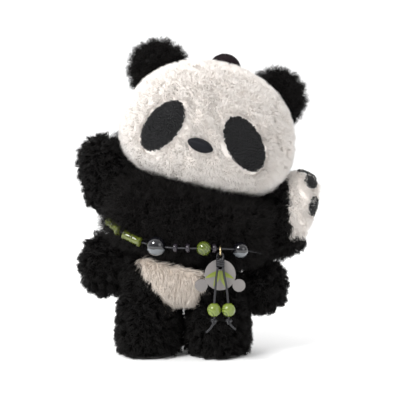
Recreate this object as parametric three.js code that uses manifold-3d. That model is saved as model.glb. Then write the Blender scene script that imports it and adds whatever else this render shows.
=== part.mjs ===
// A standing plush panda: furry covers over stuffing, moulded disc joints inside, a string of
// glass beads round the waist and a charm that hangs from it. Millimetres, +Z up, front at -Y.
// The origin is on the ground, in the middle of the whole figure.
import * as THREE from 'three';
import { mergeVertices } from 'three/addons/utils/BufferGeometryUtils.js';
import Module from 'manifold-3d';

// ---- driving dimensions -------------------------------------------------------------------
const GAP = 0.3; // room between pieces that touch or turn on each other
const FABRIC = 3; // cover cloth with the packed base of its pile
const BACKING = 1.5; // thinner cloth: soles, belly and patches

const LEAN = 13.7; // degrees that chest and head lean to the side
const WAIST_HEIGHT = 77; // the point about which they lean
const WAIST_SIDE = 2;

const HEAD = { width: 101, depth: 74, up: 44, down: 29, level: 50.3, square: 2.1, lowSquare: 3 };
const FACE_SHIFT = -3.5; // ears, eyes and nose sit a little to one side of the neck
const EAR = { size: 37, thick: 14, level: 82.5, back: 7, tilt: 24 };
const EARS_OUT = { left: 33.8, right: 37.3 };
const EYES = {
  left: { width: 19, height: 33.5, out: 22.9, level: 51.6, tilt: 25 },
  right: { width: 20, height: 34, out: 24.3, level: 52.6, tilt: 42 },
};
const NOSE = { width: 14.5, depth: 7, height: 7.2, level: 46.2, off: -0.4, tilt: 8 };
const BOBBLE = { size: 20, out: 0.5, level: 91.5, back: 8 };

const CHEST = { width: 90, depth: 64, up: 21.5, down: 21.5, level: -1, square: 4, lowSquare: 2.5 };
const CHEST_FLAT = 3; // flattened on each side, where the raised arms turn
const CHEST_SEAT = CHEST.width / 2 - CHEST_FLAT;
const CHEST_SHIFT = 1; // the chest sits a little to one side of the neck

const TORSO = { width: 74, depth: 56, up: 26, down: 19, level: 48, square: 2.3, lowSquare: 2.3 };
const TORSO_FLAT = 0.5;
const TORSO_SEAT = TORSO.width / 2 - TORSO_FLAT;
const TORSO_SHIFT = 1;
const TORSO_TOP = -23.2; // the slanted face under the chest, down the leaning axis

const LEG = { width: 36.5, depth: 45, up: 34, down: 16, level: 11, square: 2.6, lowSquare: 2.6 };
const LEG_OUT = 20;
const LEG_FORWARD = 3;

const RAISED_ARM = { width: 29, depth: 26, down: 12, square: 2.8, lowSquare: 2.4 };
const RAISED_SHOULDER = 8; // height on the leaning axis
// Height above the shoulder, distance past the chest's widest level, lean away from the head
// and the turn of the white half to the back.
const RAISED_ARMS = {
  left: { up: 31, past: 3.6, lean: 28, palmTurn: 58 },
  right: { up: 37, past: 8.2, lean: 12, palmTurn: -18 },
};

const LOWER_ARM = { width: 27, depth: 25, square: 2.3, lowSquare: 2.5 };
const LOWER_OUT = 46;
const LOWER_SHOULDERS = {
  left: { level: 52, up: 17, down: 17 }, right: { level: 38, up: 16.5, down: 13 },
};

const BELLY = {
  top: 58, topLeft: -25, topRight: 13, tip: 30, tipLeft: -7, tipRight: 6,
  hollow: 9, swell: 2,
};

const DISC = { radius: 3.7, thick: 1.6 }; // arm joints
const WASHER_RADIUS = 4;
const STEM_RADIUS = 1.8;
const BIG_DISC = { radius: 11, thick: 2 }; // neck and waist joints
const BIG_STEM_RADIUS = 2.6;

const STRING = { radius: 0.5, sideOff: 1.5, off: 5.2, level: -7.5, slope: 0.25, sag: 4 };
const BALL = { left: 11, right: 9 };
const GREEN_BEAD = 8;
const BAMBOO = { length: 12.6, thick: 6, hole: 1.6, bevel: 0.8, waist: 0.8, knuckle: 3 };
const SPACER = { thick: 2.2, size: 5 };
const BEAD_HOLE = 1;
// Places on the string, in millimetres from the front middle towards the right.
const BAMBOO_PLACES = { outer: -47.9, inner: -31.4 };
const BALL_PLACES = { left: -14.9, right: 30.6 };
const GREEN_PLACE = 10.2;
const SPACER_PLACES = [-3.9, 2.4, 15.3];
const RING_PLACE = 18.5;

const RING = { size: 6, wire: 0.9 };
const CORD = { radius: 0.6, sides: 8, steps: 16 };
const LOOP = { drop: 6, halfWidth: 2.6 };
const PLATE = { size: 17.5, ear: 7.2, thick: 1.5, hole: 4.6, rim: 1.3, earOut: 10.5, earDrop: 6 };
const LEAVES = [
  { degrees: -68, length: 9, width: 2.6 }, { degrees: -24, length: 9, width: 2.6 },
  { degrees: 22, length: 10, width: 3 }, { degrees: 64, length: 8.5, width: 2.4 },
];
const LEAF_THICK = 0.6;
const GLASS_BEAD = { size: 7.7 };
const KNOT = { size: 3.8 };

const COLOURS = {
  cream: [0xefe6de, 0.95], black: [0x1c1a19, 0.95], brownBlack: [0x2a2422, 0.95],
  stuffing: [0xf4f2ee, 1], thread: [0x14161a, 0.7], satin: [0x17191f, 0.35],
  felt: [0x2c2327, 0.9], nylon: [0xe8e6df, 0.5], cord: [0x101012, 0.6],
  green: [0x6f8f1f, 0.12], olive: [0x7d8a2a, 0.15], jet: [0x0b0b0d, 0.1],
  gold: [0xb9964a, 0.3, 1], acrylic: [0xb3aba8, 0.3], leaf: [0x9aa81e, 0.4],
};

// ---- shapes -------------------------------------------------------------------------------
const wasm = await Module();
wasm.setup();
const radians = THREE.MathUtils.degToRad;

function solidOf(geometry) {
  const bare = new THREE.BufferGeometry();
  bare.setAttribute('position', geometry.attributes.position.clone());
  bare.setIndex(geometry.index ? geometry.index.clone() : null);
  const joined = mergeVertices(bare, 1e-4);
  return new wasm.Manifold(new wasm.Mesh({
    numProp: 3,
    vertProperties: new Float32Array(joined.attributes.position.array),
    triVerts: new Uint32Array(joined.index.array),
  }));
}

function geometryOf(solid) {
  const mesh = solid.getMesh();
  const geometry = new THREE.BufferGeometry();
  geometry.setAttribute('position', new THREE.BufferAttribute(mesh.vertProperties, 3));
  geometry.setIndex(new THREE.BufferAttribute(mesh.triVerts, 1));
  geometry.computeVertexNormals();
  return geometry;
}

// A stuffed form: round in plan, with its own height above and below its widest level, and
// sides that run from round (2) to boxy (4). Inside forms, with grow below 0, have fewer faces.
function puff({ width, depth, up, down, square, lowSquare }, grow = 0, around = 20) {
  const sides = grow < 0 ? around - 6 : around;
  const form = new THREE.SphereGeometry(1, sides, Math.round(sides * 0.6)).rotateX(Math.PI / 2);
  const points = form.attributes.position;
  const p = new THREE.Vector3();
  for (let i = 0; i < points.count; i += 1) {
    p.fromBufferAttribute(points, i);
    const power = p.z < 0 ? lowSquare : square;
    const rim = Math.hypot(p.x, p.y);
    const reach = (rim ** power + Math.abs(p.z) ** power) ** (-1 / power);
    const height = (p.z < 0 ? down : up) + grow;
    const [halfWidth, halfDepth] = [width / 2 + grow, depth / 2 + grow];
    points.setXYZ(i, p.x * reach * halfWidth, p.y * reach * halfDepth, p.z * reach * height);
  }
  return form;
}

function ellipsoid(width, depth, height, around = 14) {
  const ball = new THREE.SphereGeometry(0.5, around, Math.round(around * 0.6));
  return ball.rotateX(Math.PI / 2).scale(width, depth, height);
}

// How far a rounded form reaches along one half-length, a given distance along the other one.
function reachAt(half, distance, otherHalf, power) {
  return half * (1 - (distance / otherHalf) ** power) ** (1 / power) - 3 * GAP;
}

// Everything on one side of a plane, as a big block whose face passes through a point.
function beyond(point, direction) {
  const size = 400;
  const block = new THREE.BoxGeometry(size, size, size).translate(0, 0, size / 2);
  const turn = new THREE.Quaternion().setFromUnitVectors(new THREE.Vector3(0, 0, 1), direction);
  return solidOf(block.applyQuaternion(turn).translate(point.x, point.y, point.z));
}

// Everything within a half-width of a middle plane.
function slab(halfWidth, middle) {
  return solidOf(new THREE.BoxGeometry(2 * halfWidth, 400, 400).translate(middle, 0, 0));
}

const RIGHTWARD = new THREE.Vector3(1, 0, 0);
const BACKWARD = new THREE.Vector3(0, 1, 0);
const UPWARD = new THREE.Vector3(0, 0, 1);

// A hole's radius round a turning disc or stem: its flats clear the corners of what turns in it.
const ROD_SIDES = 12;
const bore = (radius) => (radius + GAP) / Math.cos(Math.PI / ROD_SIDES);

function rod(radius, start, end, sides = ROD_SIDES) {
  const along = new THREE.Vector3().subVectors(end, start);
  const turn = new THREE.Quaternion().setFromUnitVectors(BACKWARD, along.clone().normalize());
  const middle = new THREE.Vector3().addVectors(start, end).multiplyScalar(0.5);
  const body = new THREE.CylinderGeometry(radius, radius, along.length(), sides);
  return body.applyQuaternion(turn).translate(middle.x, middle.y, middle.z);
}

function cutAll(solid, ...cutters) {
  return cutters.reduce((left, cutter) => left.subtract(cutter), solid);
}

// A disc with its stem, turned about the line from start (inside the limb) towards end.
function studGeometry(disc, stemRadius, start, end) {
  const length = start.distanceTo(end);
  const profile = [[0, 0], [disc.radius, 0], [disc.radius, disc.thick], [stemRadius, disc.thick],
    [stemRadius, length], [0, length]].map(([x, y]) => new THREE.Vector2(x, y));
  return aim(new THREE.LatheGeometry(profile, ROD_SIDES), start, end);
}

function aim(geometry, start, end) {
  const along = new THREE.Vector3().subVectors(end, start).normalize();
  const turn = new THREE.Quaternion().setFromUnitVectors(BACKWARD, along);
  return geometry.applyQuaternion(turn).translate(start.x, start.y, start.z);
}

// A flat ring whose near face is at start.
function washerGeometry(outer, hole, thick, start, end, sides = ROD_SIDES) {
  const profile = [[hole, 0], [outer, 0], [outer, thick], [hole, thick], [hole, 0]];
  const corners = profile.map(([x, y]) => new THREE.Vector2(x, y));
  return aim(new THREE.LatheGeometry(corners, sides), start, end);
}

// A bead with a hole: its outline runs from one end to the other, as half-lengths and radii.
function beadGeometry(outline, hole, centre, along, sides = 12) {
  const profile = outline.map(([x, y]) => new THREE.Vector2(x, y));
  const [first, last] = [profile[0], profile[profile.length - 1]];
  profile.push(new THREE.Vector2(hole, last.y), new THREE.Vector2(hole, first.y), first.clone());
  const end = new THREE.Vector3().addVectors(centre, along);
  return aim(new THREE.LatheGeometry(profile, sides), centre, end);
}

function roundOutline(size, hole, steps = 8) {
  const reach = Math.acos(hole / (size / 2));
  return Array.from({ length: steps + 1 }, (_, i) => {
    const angle = -reach + (2 * reach * i) / steps;
    return [(Math.cos(angle) * size) / 2, (Math.sin(angle) * size) / 2];
  });
}

function cordGeometry(points, radius = CORD.radius, steps = CORD.steps) {
  const section = new THREE.Shape();
  for (let i = 0; i < CORD.sides; i += 1) {
    const angle = (2 * Math.PI * i) / CORD.sides;
    const corner = [radius * Math.cos(angle), radius * Math.sin(angle)];
    if (i === 0) section.moveTo(...corner);
    else section.lineTo(...corner);
  }
  section.closePath();
  const path = new THREE.CatmullRomCurve3(points.map((p) => new THREE.Vector3(...p)));
  return new THREE.ExtrudeGeometry(section, { steps, bevelEnabled: false, extrudePath: path });
}

// ---- scene graph --------------------------------------------------------------------------
const panda = new THREE.Group();
const figure = new THREE.Group(); // upright: legs, torso and lower arms
const upper = new THREE.Group(); // leaning: chest, raised arms and head
upper.position.set(WAIST_SIDE, 0, WAIST_HEIGHT);
upper.rotation.y = radians(LEAN);
figure.add(upper);
panda.add(figure);
upper.updateMatrix();
const leaned = (geometry) => geometry.clone().applyMatrix4(upper.matrix);
const leanedPoint = (x, y, z) => new THREE.Vector3(x, y, z).applyMatrix4(upper.matrix);
const leaningAxis = UPWARD.clone().transformDirection(upper.matrix);

function add(name, geometry, finish, parent = figure) {
  const [color, roughness, metalness = 0] = COLOURS[finish];
  const mesh = new THREE.Mesh(geometry, new THREE.MeshStandardMaterial({ color, roughness, metalness }));
  mesh.name = name;
  parent.add(mesh);
}

const addSolid = (name, solid, finish, parent) => add(name, geometryOf(solid), finish, parent);

// ---- head ---------------------------------------------------------------------------------
const headForm = (grow) => solidOf(puff(HEAD, grow, 22).translate(0, 0, HEAD.level));
const headInside = headForm(-FABRIC);
const headClear = headForm(GAP);
const headBottom = HEAD.level - HEAD.down;
const neckDiscLow = HEAD.level
  - reachAt(HEAD.down - FABRIC, BIG_DISC.radius, HEAD.depth / 2 - FABRIC, HEAD.lowSquare) + GAP;
const neckWasherTop = CHEST.level
  + reachAt(CHEST.up - FABRIC, BIG_DISC.radius, CHEST.depth / 2 - FABRIC, CHEST.square) - GAP;
const neckEnd = neckWasherTop - BIG_DISC.thick - 1;
const onAxis = (height) => new THREE.Vector3(0, 0, height);

function buildHead() {
  const neckHole = solidOf(rod(bore(BIG_STEM_RADIUS), onAxis(headBottom - 5), onAxis(neckDiscLow + 5)));
  const cover = cutAll(headForm(0), headInside, neckHole);
  const seam = new THREE.Vector3(0, EAR.back, 0);
  const front = beyond(seam.clone().setY(seam.y - GAP / 2), BACKWARD.clone().negate());
  const back = beyond(seam.clone().setY(seam.y + GAP / 2), BACKWARD);
  addSolid('head_front_cover', cover.intersect(front), 'cream', upper);
  addSolid('head_back_cover', cover.intersect(back), 'cream', upper);

  const discTop = onAxis(neckDiscLow + BIG_DISC.thick + GAP);
  const discRoom = solidOf(rod(bore(BIG_DISC.radius), onAxis(headBottom), discTop));
  addSolid('head_stuffing', headForm(-FABRIC - GAP).subtract(discRoom), 'stuffing', upper);

  for (const [side, sign] of [['left', -1], ['right', 1]]) {
    const ear = ellipsoid(EAR.size, EAR.thick, EAR.size, 16)
      .rotateY(radians(EAR.tilt * sign))
      .translate(FACE_SHIFT + EARS_OUT[side] * sign, EAR.back, EAR.level);
    addSolid(`${side}_ear`, solidOf(ear).subtract(headClear), 'brownBlack', upper);
    const eye = EYES[side];
    const outline = ellipsoid(eye.width, HEAD.depth, eye.height)
      .rotateY(radians(-eye.tilt * sign))
      .translate(FACE_SHIFT + eye.out * sign, -HEAD.depth / 2, eye.level);
    const patch = headForm(BACKING).intersect(solidOf(outline)).subtract(headClear);
    addSolid(`${side}_eye_patch`, patch, 'thread', upper);
  }

  const nose = ellipsoid(NOSE.width, NOSE.depth, NOSE.height)
    .rotateY(radians(NOSE.tilt))
    .translate(FACE_SHIFT - NOSE.off, -HEAD.depth / 2, NOSE.level);
  addSolid('nose', solidOf(nose).subtract(headClear), 'satin', upper);
  const bobble = ellipsoid(BOBBLE.size, BOBBLE.size, BOBBLE.size)
    .translate(BOBBLE.out, BOBBLE.back, BOBBLE.level);
  addSolid('crown_bobble', solidOf(bobble).subtract(headClear), 'felt', upper);

  add('neck_stud', studGeometry(BIG_DISC, BIG_STEM_RADIUS,
    onAxis(neckDiscLow + BIG_DISC.thick), onAxis(neckEnd)), 'nylon', upper);
  add('neck_lock_washer', washerGeometry(BIG_DISC.radius, BIG_STEM_RADIUS + GAP, BIG_DISC.thick,
    onAxis(neckWasherTop), onAxis(neckEnd)), 'nylon', upper);
}

// ---- chest --------------------------------------------------------------------------------
const chestForm = (grow) => solidOf(puff(CHEST, grow, 22).translate(CHEST_SHIFT, 0, CHEST.level))
  .intersect(slab(CHEST_SEAT + grow, CHEST_SHIFT));
const chestBottom = CHEST.level - CHEST.down;
const waistWasherLow = CHEST.level
  - reachAt(CHEST.down - FABRIC, BIG_DISC.radius, CHEST.depth / 2 - FABRIC, CHEST.lowSquare) + GAP;
const waistEnd = waistWasherLow + BIG_DISC.thick + 1;
const shoulderFace = (sign) => CHEST_SHIFT + sign * CHEST_SEAT;
const raisedInner = (sign) => shoulderFace(sign) + sign * 2 * GAP;
const raisedArm = (sign) => (sign < 0 ? RAISED_ARMS.left : RAISED_ARMS.right);
const raisedOut = (sign) => CHEST_SHIFT + sign * (CHEST.width / 2 + raisedArm(sign).past);
const raisedPivot = (sign) => new THREE.Vector3(raisedOut(sign), 0, RAISED_SHOULDER);
const raisedWasher = (sign) => CHEST_SHIFT + sign * reachAt(CHEST.width / 2 - FABRIC,
  RAISED_SHOULDER - CHEST.level + WASHER_RADIUS, CHEST.up - FABRIC, CHEST.square);
const raisedEnd = (sign) => raisedWasher(sign) - sign * (DISC.thick + 1);
const across = (x, at) => new THREE.Vector3(x, at.y, at.z);

function buildChest() {
  const neckHole = solidOf(rod(bore(BIG_STEM_RADIUS), onAxis(neckEnd - GAP), onAxis(headBottom)));
  const waistHole = solidOf(rod(bore(BIG_STEM_RADIUS), onAxis(chestBottom - 5), onAxis(waistEnd + GAP)));
  const neckRoom = solidOf(rod(bore(BIG_DISC.radius), onAxis(neckEnd - GAP), onAxis(headBottom)));
  const waistRoom = solidOf(rod(bore(BIG_DISC.radius), onAxis(chestBottom - 5), onAxis(waistEnd + GAP)));
  let cover = cutAll(chestForm(0), chestForm(-FABRIC), neckHole, waistHole);
  let stuffing = cutAll(chestForm(-FABRIC - GAP), neckRoom, waistRoom);
  for (const sign of [-1, 1]) {
    const pivot = raisedPivot(sign);
    const outside = across(pivot.x, pivot);
    const inside = across(raisedEnd(sign) - sign * GAP, pivot);
    cover = cover.subtract(solidOf(rod(bore(STEM_RADIUS), outside, inside)));
    stuffing = stuffing.subtract(solidOf(rod(bore(WASHER_RADIUS), outside, inside)));
  }
  addSolid('chest_cover', cover, 'brownBlack', upper);
  addSolid('chest_stuffing', stuffing, 'stuffing', upper);
}

// ---- arms ---------------------------------------------------------------------------------
// What the turning head takes from a raised arm: its side outline, carried right through.
const headWall = (grow) => solidOf(puff({ ...HEAD, depth: 2 * HEAD.width }, GAP - grow, 22)
  .translate(0, 0, HEAD.level));

// One arm on its disc joint. Its inner side is a flat face that turns beside the body.
function buildArm({ name, sign, shape, pivot, inner, lean, washer, end, parent, palmTurn }) {
  const beside = parent === upper ? [headWall] : [];
  const form = (grow) => cutAll(solidOf(puff(shape, grow, 16).rotateY(radians(lean))
    .translate(pivot.x, pivot.y, pivot.z)), ...beside.map((wall) => wall(grow)));
  const away = RIGHTWARD.clone().multiplyScalar(sign);
  const outerSide = (offset) => beyond(across(inner + sign * offset, pivot), away);
  const outside = form(0).intersect(outerSide(0));
  const cavity = form(-FABRIC).intersect(outerSide(FABRIC));
  const holeEnd = across(inner + sign * (FABRIC + DISC.thick), pivot);
  const stemHole = solidOf(rod(bore(STEM_RADIUS), across(inner - sign * FABRIC, pivot), holeEnd));
  const discInner = inner + sign * (FABRIC + GAP);
  const discOuter = discInner + sign * DISC.thick;
  const discReach = across(discOuter + sign * GAP, pivot);
  const discRoom = solidOf(rod(bore(DISC.radius), across(inner, pivot), discReach));
  const discSeat = solidOf(rod(bore(DISC.radius), across(discInner - sign * GAP, pivot), discReach));
  const cover = cutAll(outside, cavity, stemHole, discSeat);
  const stuffing = form(-FABRIC - GAP).intersect(outerSide(FABRIC + GAP)).subtract(discRoom);
  if (palmTurn === undefined) {
    addSolid(`${name}_cover`, cover, 'black', parent);
  } else {
    const facing = away.clone().applyAxisAngle(UPWARD, radians(palmTurn * sign));
    const split = pivot.clone().addScaledVector(away, 1);
    const white = beyond(split.clone().addScaledVector(facing, GAP / 2), facing);
    const black = beyond(split.clone().addScaledVector(facing, -GAP / 2), facing.clone().negate());
    addSolid(`${name}_cover`, cover.intersect(black), 'black', parent);
    addSolid(`${name}_palm`, cover.intersect(white), 'cream', parent);
  }
  addSolid(`${name}_stuffing`, stuffing, 'stuffing', parent);
  const stud = studGeometry(DISC, STEM_RADIUS, across(discOuter, pivot), across(end, pivot));
  add(`${name}_stud`, stud, 'nylon', parent);
  add(`${name}_lock_washer`, washerGeometry(WASHER_RADIUS, STEM_RADIUS + GAP, DISC.thick,
    across(washer, pivot), across(end, pivot)), 'nylon', parent);
}

const torsoFace = (sign) => TORSO_SHIFT + sign * TORSO_SEAT;
const lowerPivot = (side, sign) => new THREE.Vector3(sign * LOWER_OUT, 0, LOWER_SHOULDERS[side].level);
const lowerWasher = (side, sign) => {
  const above = LOWER_SHOULDERS[side].level - TORSO.level;
  const half = (above > 0 ? TORSO.up : TORSO.down) - FABRIC;
  const reach = reachAt(TORSO.width / 2 - FABRIC, Math.abs(above) + WASHER_RADIUS, half, TORSO.square);
  return TORSO_SHIFT + sign * reach;
};
const lowerEnd = (side, sign) => lowerWasher(side, sign) - sign * (DISC.thick + 1);

function buildArms() {
  for (const [side, sign] of [['left', -1], ['right', 1]]) {
    const { up, lean, palmTurn } = RAISED_ARMS[side];
    buildArm({
      name: `${side}_raised_arm`, sign, shape: { ...RAISED_ARM, up }, pivot: raisedPivot(sign),
      inner: raisedInner(sign), lean: lean * sign, washer: raisedWasher(sign),
      end: raisedEnd(sign), parent: upper, palmTurn,
    });
    const shape = { ...LOWER_ARM, ...LOWER_SHOULDERS[side] };
    buildArm({
      name: `${side}_lower_arm`, sign, shape, pivot: lowerPivot(side, sign),
      inner: torsoFace(sign) + sign * 2 * GAP, lean: 0, washer: lowerWasher(side, sign),
      end: lowerEnd(side, sign), parent: figure,
    });
  }
}

// ---- lower body ---------------------------------------------------------------------------
const torsoWhole = (grow) => solidOf(puff(TORSO, grow, 22).translate(TORSO_SHIFT, 0, TORSO.level))
  .intersect(slab(TORSO_SEAT + grow, TORSO_SHIFT));
const below = (height) => beyond(leanedPoint(0, 0, height), leaningAxis.clone().negate());
const torsoForm = (grow) => torsoWhole(grow).intersect(below(TORSO_TOP + grow));
const legWhole = (sign, grow) => solidOf(puff(LEG, grow, 18)
  .translate(sign * LEG_OUT, -LEG_FORWARD, LEG.level));
const aboveGround = (height) => beyond(onAxis(height), UPWARD);

function bellyOutline(grow) {
  const shape = new THREE.Shape();
  shape.moveTo(BELLY.topLeft - grow, BELLY.top + grow);
  const half = (BELLY.top + BELLY.tip) / 2;
  shape.quadraticCurveTo(BELLY.topLeft + BELLY.hollow, half, BELLY.tipLeft - grow, BELLY.tip - grow);
  shape.lineTo(BELLY.tipRight + grow, BELLY.tip - grow);
  shape.quadraticCurveTo(BELLY.topRight - BELLY.swell, half, BELLY.topRight + grow, BELLY.top + grow);
  shape.closePath();
  const settings = { depth: TORSO.depth, bevelEnabled: false, curveSegments: 5 };
  const block = new THREE.ExtrudeGeometry(shape, settings);
  return solidOf(block.rotateX(Math.PI / 2));
}

function buildBody() {
  const stemEnd = onAxis(TORSO_TOP - FABRIC - 5);
  const stemHole = solidOf(leaned(rod(bore(BIG_STEM_RADIUS), onAxis(chestBottom), stemEnd)));
  const discTop = TORSO_TOP - FABRIC - GAP;
  const discLow = discTop - BIG_DISC.thick;
  const discRoom = solidOf(leaned(rod(bore(BIG_DISC.radius), onAxis(chestBottom), onAxis(discLow - GAP))));
  const belly = torsoForm(BACKING + GAP).intersect(below(TORSO_TOP)).subtract(torsoForm(GAP));
  addSolid('belly_panel', belly.intersect(bellyOutline(0)), 'cream');

  let cover = cutAll(torsoForm(0), torsoForm(-FABRIC), stemHole);
  let stuffing = torsoForm(-FABRIC - GAP);
  for (const [side, sign] of [['left', -1], ['right', 1]]) {
    const floor = BACKING + GAP;
    const legClear = torsoForm(BACKING + 2 * GAP);
    const leg = cutAll(legWhole(sign, 0), legWhole(sign, -FABRIC), legClear).intersect(aboveGround(floor));
    addSolid(`${side}_leg_cover`, leg, 'black');
    cover = cover.subtract(legWhole(sign, GAP - FABRIC));
    stuffing = stuffing.add(legWhole(sign, -FABRIC - GAP).intersect(aboveGround(floor)));
    const slice = beyond(onAxis(floor + BACKING), UPWARD.clone().negate());
    const tread = legWhole(sign, 0).intersect(aboveGround(floor)).intersect(slice);
    addSolid(`${side}_sole`, solidOf(geometryOf(tread).translate(0, 0, -floor)), 'black');
  }
  for (const [side, sign] of [['left', -1], ['right', 1]]) {
    const pivot = lowerPivot(side, sign);
    const inside = across(lowerEnd(side, sign) - sign * GAP, pivot);
    cover = cover.subtract(solidOf(rod(bore(STEM_RADIUS), pivot, inside)));
    stuffing = stuffing.subtract(solidOf(rod(bore(WASHER_RADIUS), pivot, inside)));
  }
  addSolid('torso_cover', cover, 'black');
  addSolid('body_stuffing', stuffing.subtract(discRoom), 'stuffing');
  add('waist_stud', studGeometry(BIG_DISC, BIG_STEM_RADIUS, onAxis(discLow), onAxis(waistEnd)), 'nylon', upper);
  add('waist_lock_washer', washerGeometry(BIG_DISC.radius, BIG_STEM_RADIUS + GAP, BIG_DISC.thick,
    onAxis(waistWasherLow), onAxis(waistEnd)), 'nylon', upper);
}

// ---- bead string --------------------------------------------------------------------------
// The string's line, at a distance round the chest's widest level from the front middle.
function stringPoint(place) {
  const angle = place / (CHEST.width / 2);
  const front = Math.max(0, Math.cos(angle)) ** 2;
  const x = (CHEST.width / 2) * Math.sin(angle);
  const height = STRING.level + (STRING.slope * x - STRING.sag) * front;
  const drop = Math.min(0.98, Math.abs(height - CHEST.level) / CHEST.down);
  const share = (1 - drop ** CHEST.lowSquare) ** (1 / CHEST.lowSquare);
  const off = STRING.sideOff + STRING.off * Math.max(0, Math.cos(angle)) ** 0.7;
  return new THREE.Vector3(
    CHEST_SHIFT + ((CHEST.width / 2) * share + off) * Math.sin(angle),
    -((CHEST.depth / 2) * share + off) * Math.cos(angle), height);
}

function stringDirection(place) {
  const [ahead, behind] = [stringPoint(place + BEAD_HOLE), stringPoint(place - BEAD_HOLE)];
  return ahead.sub(behind).normalize();
}

function buildString() {
  const steps = 30;
  const round = Math.PI * CHEST.width;
  const points = Array.from({ length: steps }, (_, i) => stringPoint((round * i) / steps));
  const loop = new THREE.CatmullRomCurve3(points, true);
  const tube = new THREE.TubeGeometry(loop, 48, STRING.radius, 8, true);
  add('waist_cord', geometryOf(solidOf(tube)), 'cord', upper);

  const bead = (name, outline, place, finish, hole = BEAD_HOLE) => add(name,
    beadGeometry(outline, hole, stringPoint(place), stringDirection(place)), finish, upper);
  const [half, wide] = [BAMBOO.length / 2, BAMBOO.thick / 2];
  const { bevel, waist, knuckle } = BAMBOO;
  const bamboo = [[wide - bevel, -half], [wide, bevel - half], [wide - waist, knuckle - half],
    [wide - waist, half - knuckle], [wide, half - bevel], [wide - bevel, half]];
  bead('bamboo_bead_outer', bamboo, BAMBOO_PLACES.outer, 'olive', BAMBOO.hole);
  bead('bamboo_bead_inner', bamboo, BAMBOO_PLACES.inner, 'olive', BAMBOO.hole);
  bead('left_ball_bead', roundOutline(BALL.left, BEAD_HOLE), BALL_PLACES.left, 'jet');
  bead('green_bead', roundOutline(GREEN_BEAD, BEAD_HOLE), GREEN_PLACE, 'green');
  bead('right_ball_bead', roundOutline(BALL.right, BEAD_HOLE), BALL_PLACES.right, 'jet');
  const spacer = [[SPACER.size / 2 - 0.6, -SPACER.thick / 2], [SPACER.size / 2, 0],
    [SPACER.size / 2 - 0.6, SPACER.thick / 2]];
  SPACER_PLACES.forEach((place, i) => bead(`spacer_bead_${i + 1}`, spacer, place, 'felt'));
}

// ---- charm --------------------------------------------------------------------------------
const ringOn = stringPoint(RING_PLACE).applyMatrix4(upper.matrix);
const ringDrop = RING.size / 2 - RING.wire - GAP - STRING.radius;
const ringMiddle = ringOn.clone().add(new THREE.Vector3(0, 0, -ringDrop));
const ringLow = ringMiddle.z - RING.size / 2 + RING.wire;
const plateHole = new THREE.Vector3(ringMiddle.x, ringMiddle.y, ringLow - LOOP.drop);

function discOutline(size, x, z) {
  return new THREE.CylinderGeometry(size / 2, size / 2, PLATE.thick, 24).translate(x, 0, z);
}

function buildCharm() {
  const ring = new THREE.TorusGeometry((RING.size - RING.wire) / 2, RING.wire / 2, 6, 14);
  add('jump_ring', ring.rotateY(Math.PI / 2).translate(ringMiddle.x, ringMiddle.y, ringMiddle.z), 'gold');

  const loopHigh = ringLow + GAP + CORD.radius;
  const tall = (loopHigh - plateHole.z) / 2;
  const centre = new THREE.Vector3(ringMiddle.x, ringMiddle.y, (loopHigh + plateHole.z) / 2);
  const turns = Array.from({ length: 16 }, (_, i) => {
    const angle = (2 * Math.PI * i) / 16;
    const high = (Math.cos(angle) + 1) / 2;
    const wide = LOOP.halfWidth * Math.sin(angle);
    const [x, y] = [centre.x + wide * high, centre.y - wide * (1 - high)];
    return new THREE.Vector3(x, y, centre.z + tall * Math.cos(angle));
  });
  const loop = new THREE.CatmullRomCurve3(turns, true);
  const tube = new THREE.TubeGeometry(loop, 24, CORD.radius, 8, true);
  add('charm_cord_loop', geometryOf(solidOf(tube)), 'cord');

  const plateMiddle = plateHole.z - PLATE.size / 2 + PLATE.hole / 2 + PLATE.rim;
  let plate = solidOf(discOutline(PLATE.size, 0, plateMiddle));
  for (const sign of [-1, 1]) {
    plate = plate.add(solidOf(discOutline(PLATE.ear, sign * PLATE.earOut, plateMiddle - PLATE.earDrop)));
  }
  const drill = rod(PLATE.hole / 2, new THREE.Vector3(0, -PLATE.thick, plateHole.z),
    new THREE.Vector3(0, PLATE.thick, plateHole.z), 14);
  plate = plate.subtract(solidOf(drill));
  addSolid('charm_plate', solidOf(geometryOf(plate).translate(plateHole.x, plateHole.y, 0)), 'acrylic');

  const leafTop = plateHole.z - PLATE.hole / 2 - PLATE.rim;
  let spray = null;
  for (const { degrees, length, width } of LEAVES) {
    const leaf = new THREE.Shape();
    leaf.moveTo(0, 1);
    leaf.quadraticCurveTo(width, -length * 0.35, 0, -length);
    leaf.quadraticCurveTo(-width, -length * 0.35, 0, 1);
    const settings = { depth: LEAF_THICK, bevelEnabled: false, curveSegments: 5 };
    const blade = new THREE.ExtrudeGeometry(leaf, settings)
      .rotateX(Math.PI / 2).rotateY(radians(-degrees));
    const solid = solidOf(blade.translate(plateHole.x, plateHole.y - PLATE.thick / 2 - GAP, leafTop));
    spray = spray ? spray.add(solid) : solid;
  }
  addSolid('leaf_spray', spray, 'leaf');
}

// Each tassel cord leaves the plate's hole, hangs in front of it and ends just past its knot.
// Its points are sideways from its own bead, and forward and down from the hole.
const BEADS_APART = GLASS_BEAD.size + GAP;
const BEADS_SHIFT = 0.6;
const TASSELS = {
  left: [[2, -3.1, -0.6], [1.2, -3.6, -7], [0.5, -4.4, -15], [0, -4.7, -24.2], [-0.1, -4.7, -30.6],
    [-1.6, -4.5, -34], [-4.4, -4.2, -37]],
  right: [[-3.2, -3.1, -0.6], [-2, -3.6, -7], [-0.7, -4.4, -15], [0, -4.7, -24.2], [0.2, -4.7, -30.6],
    [1.7, -4.5, -33.2], [4, -4.2, -35.4]],
};

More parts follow.
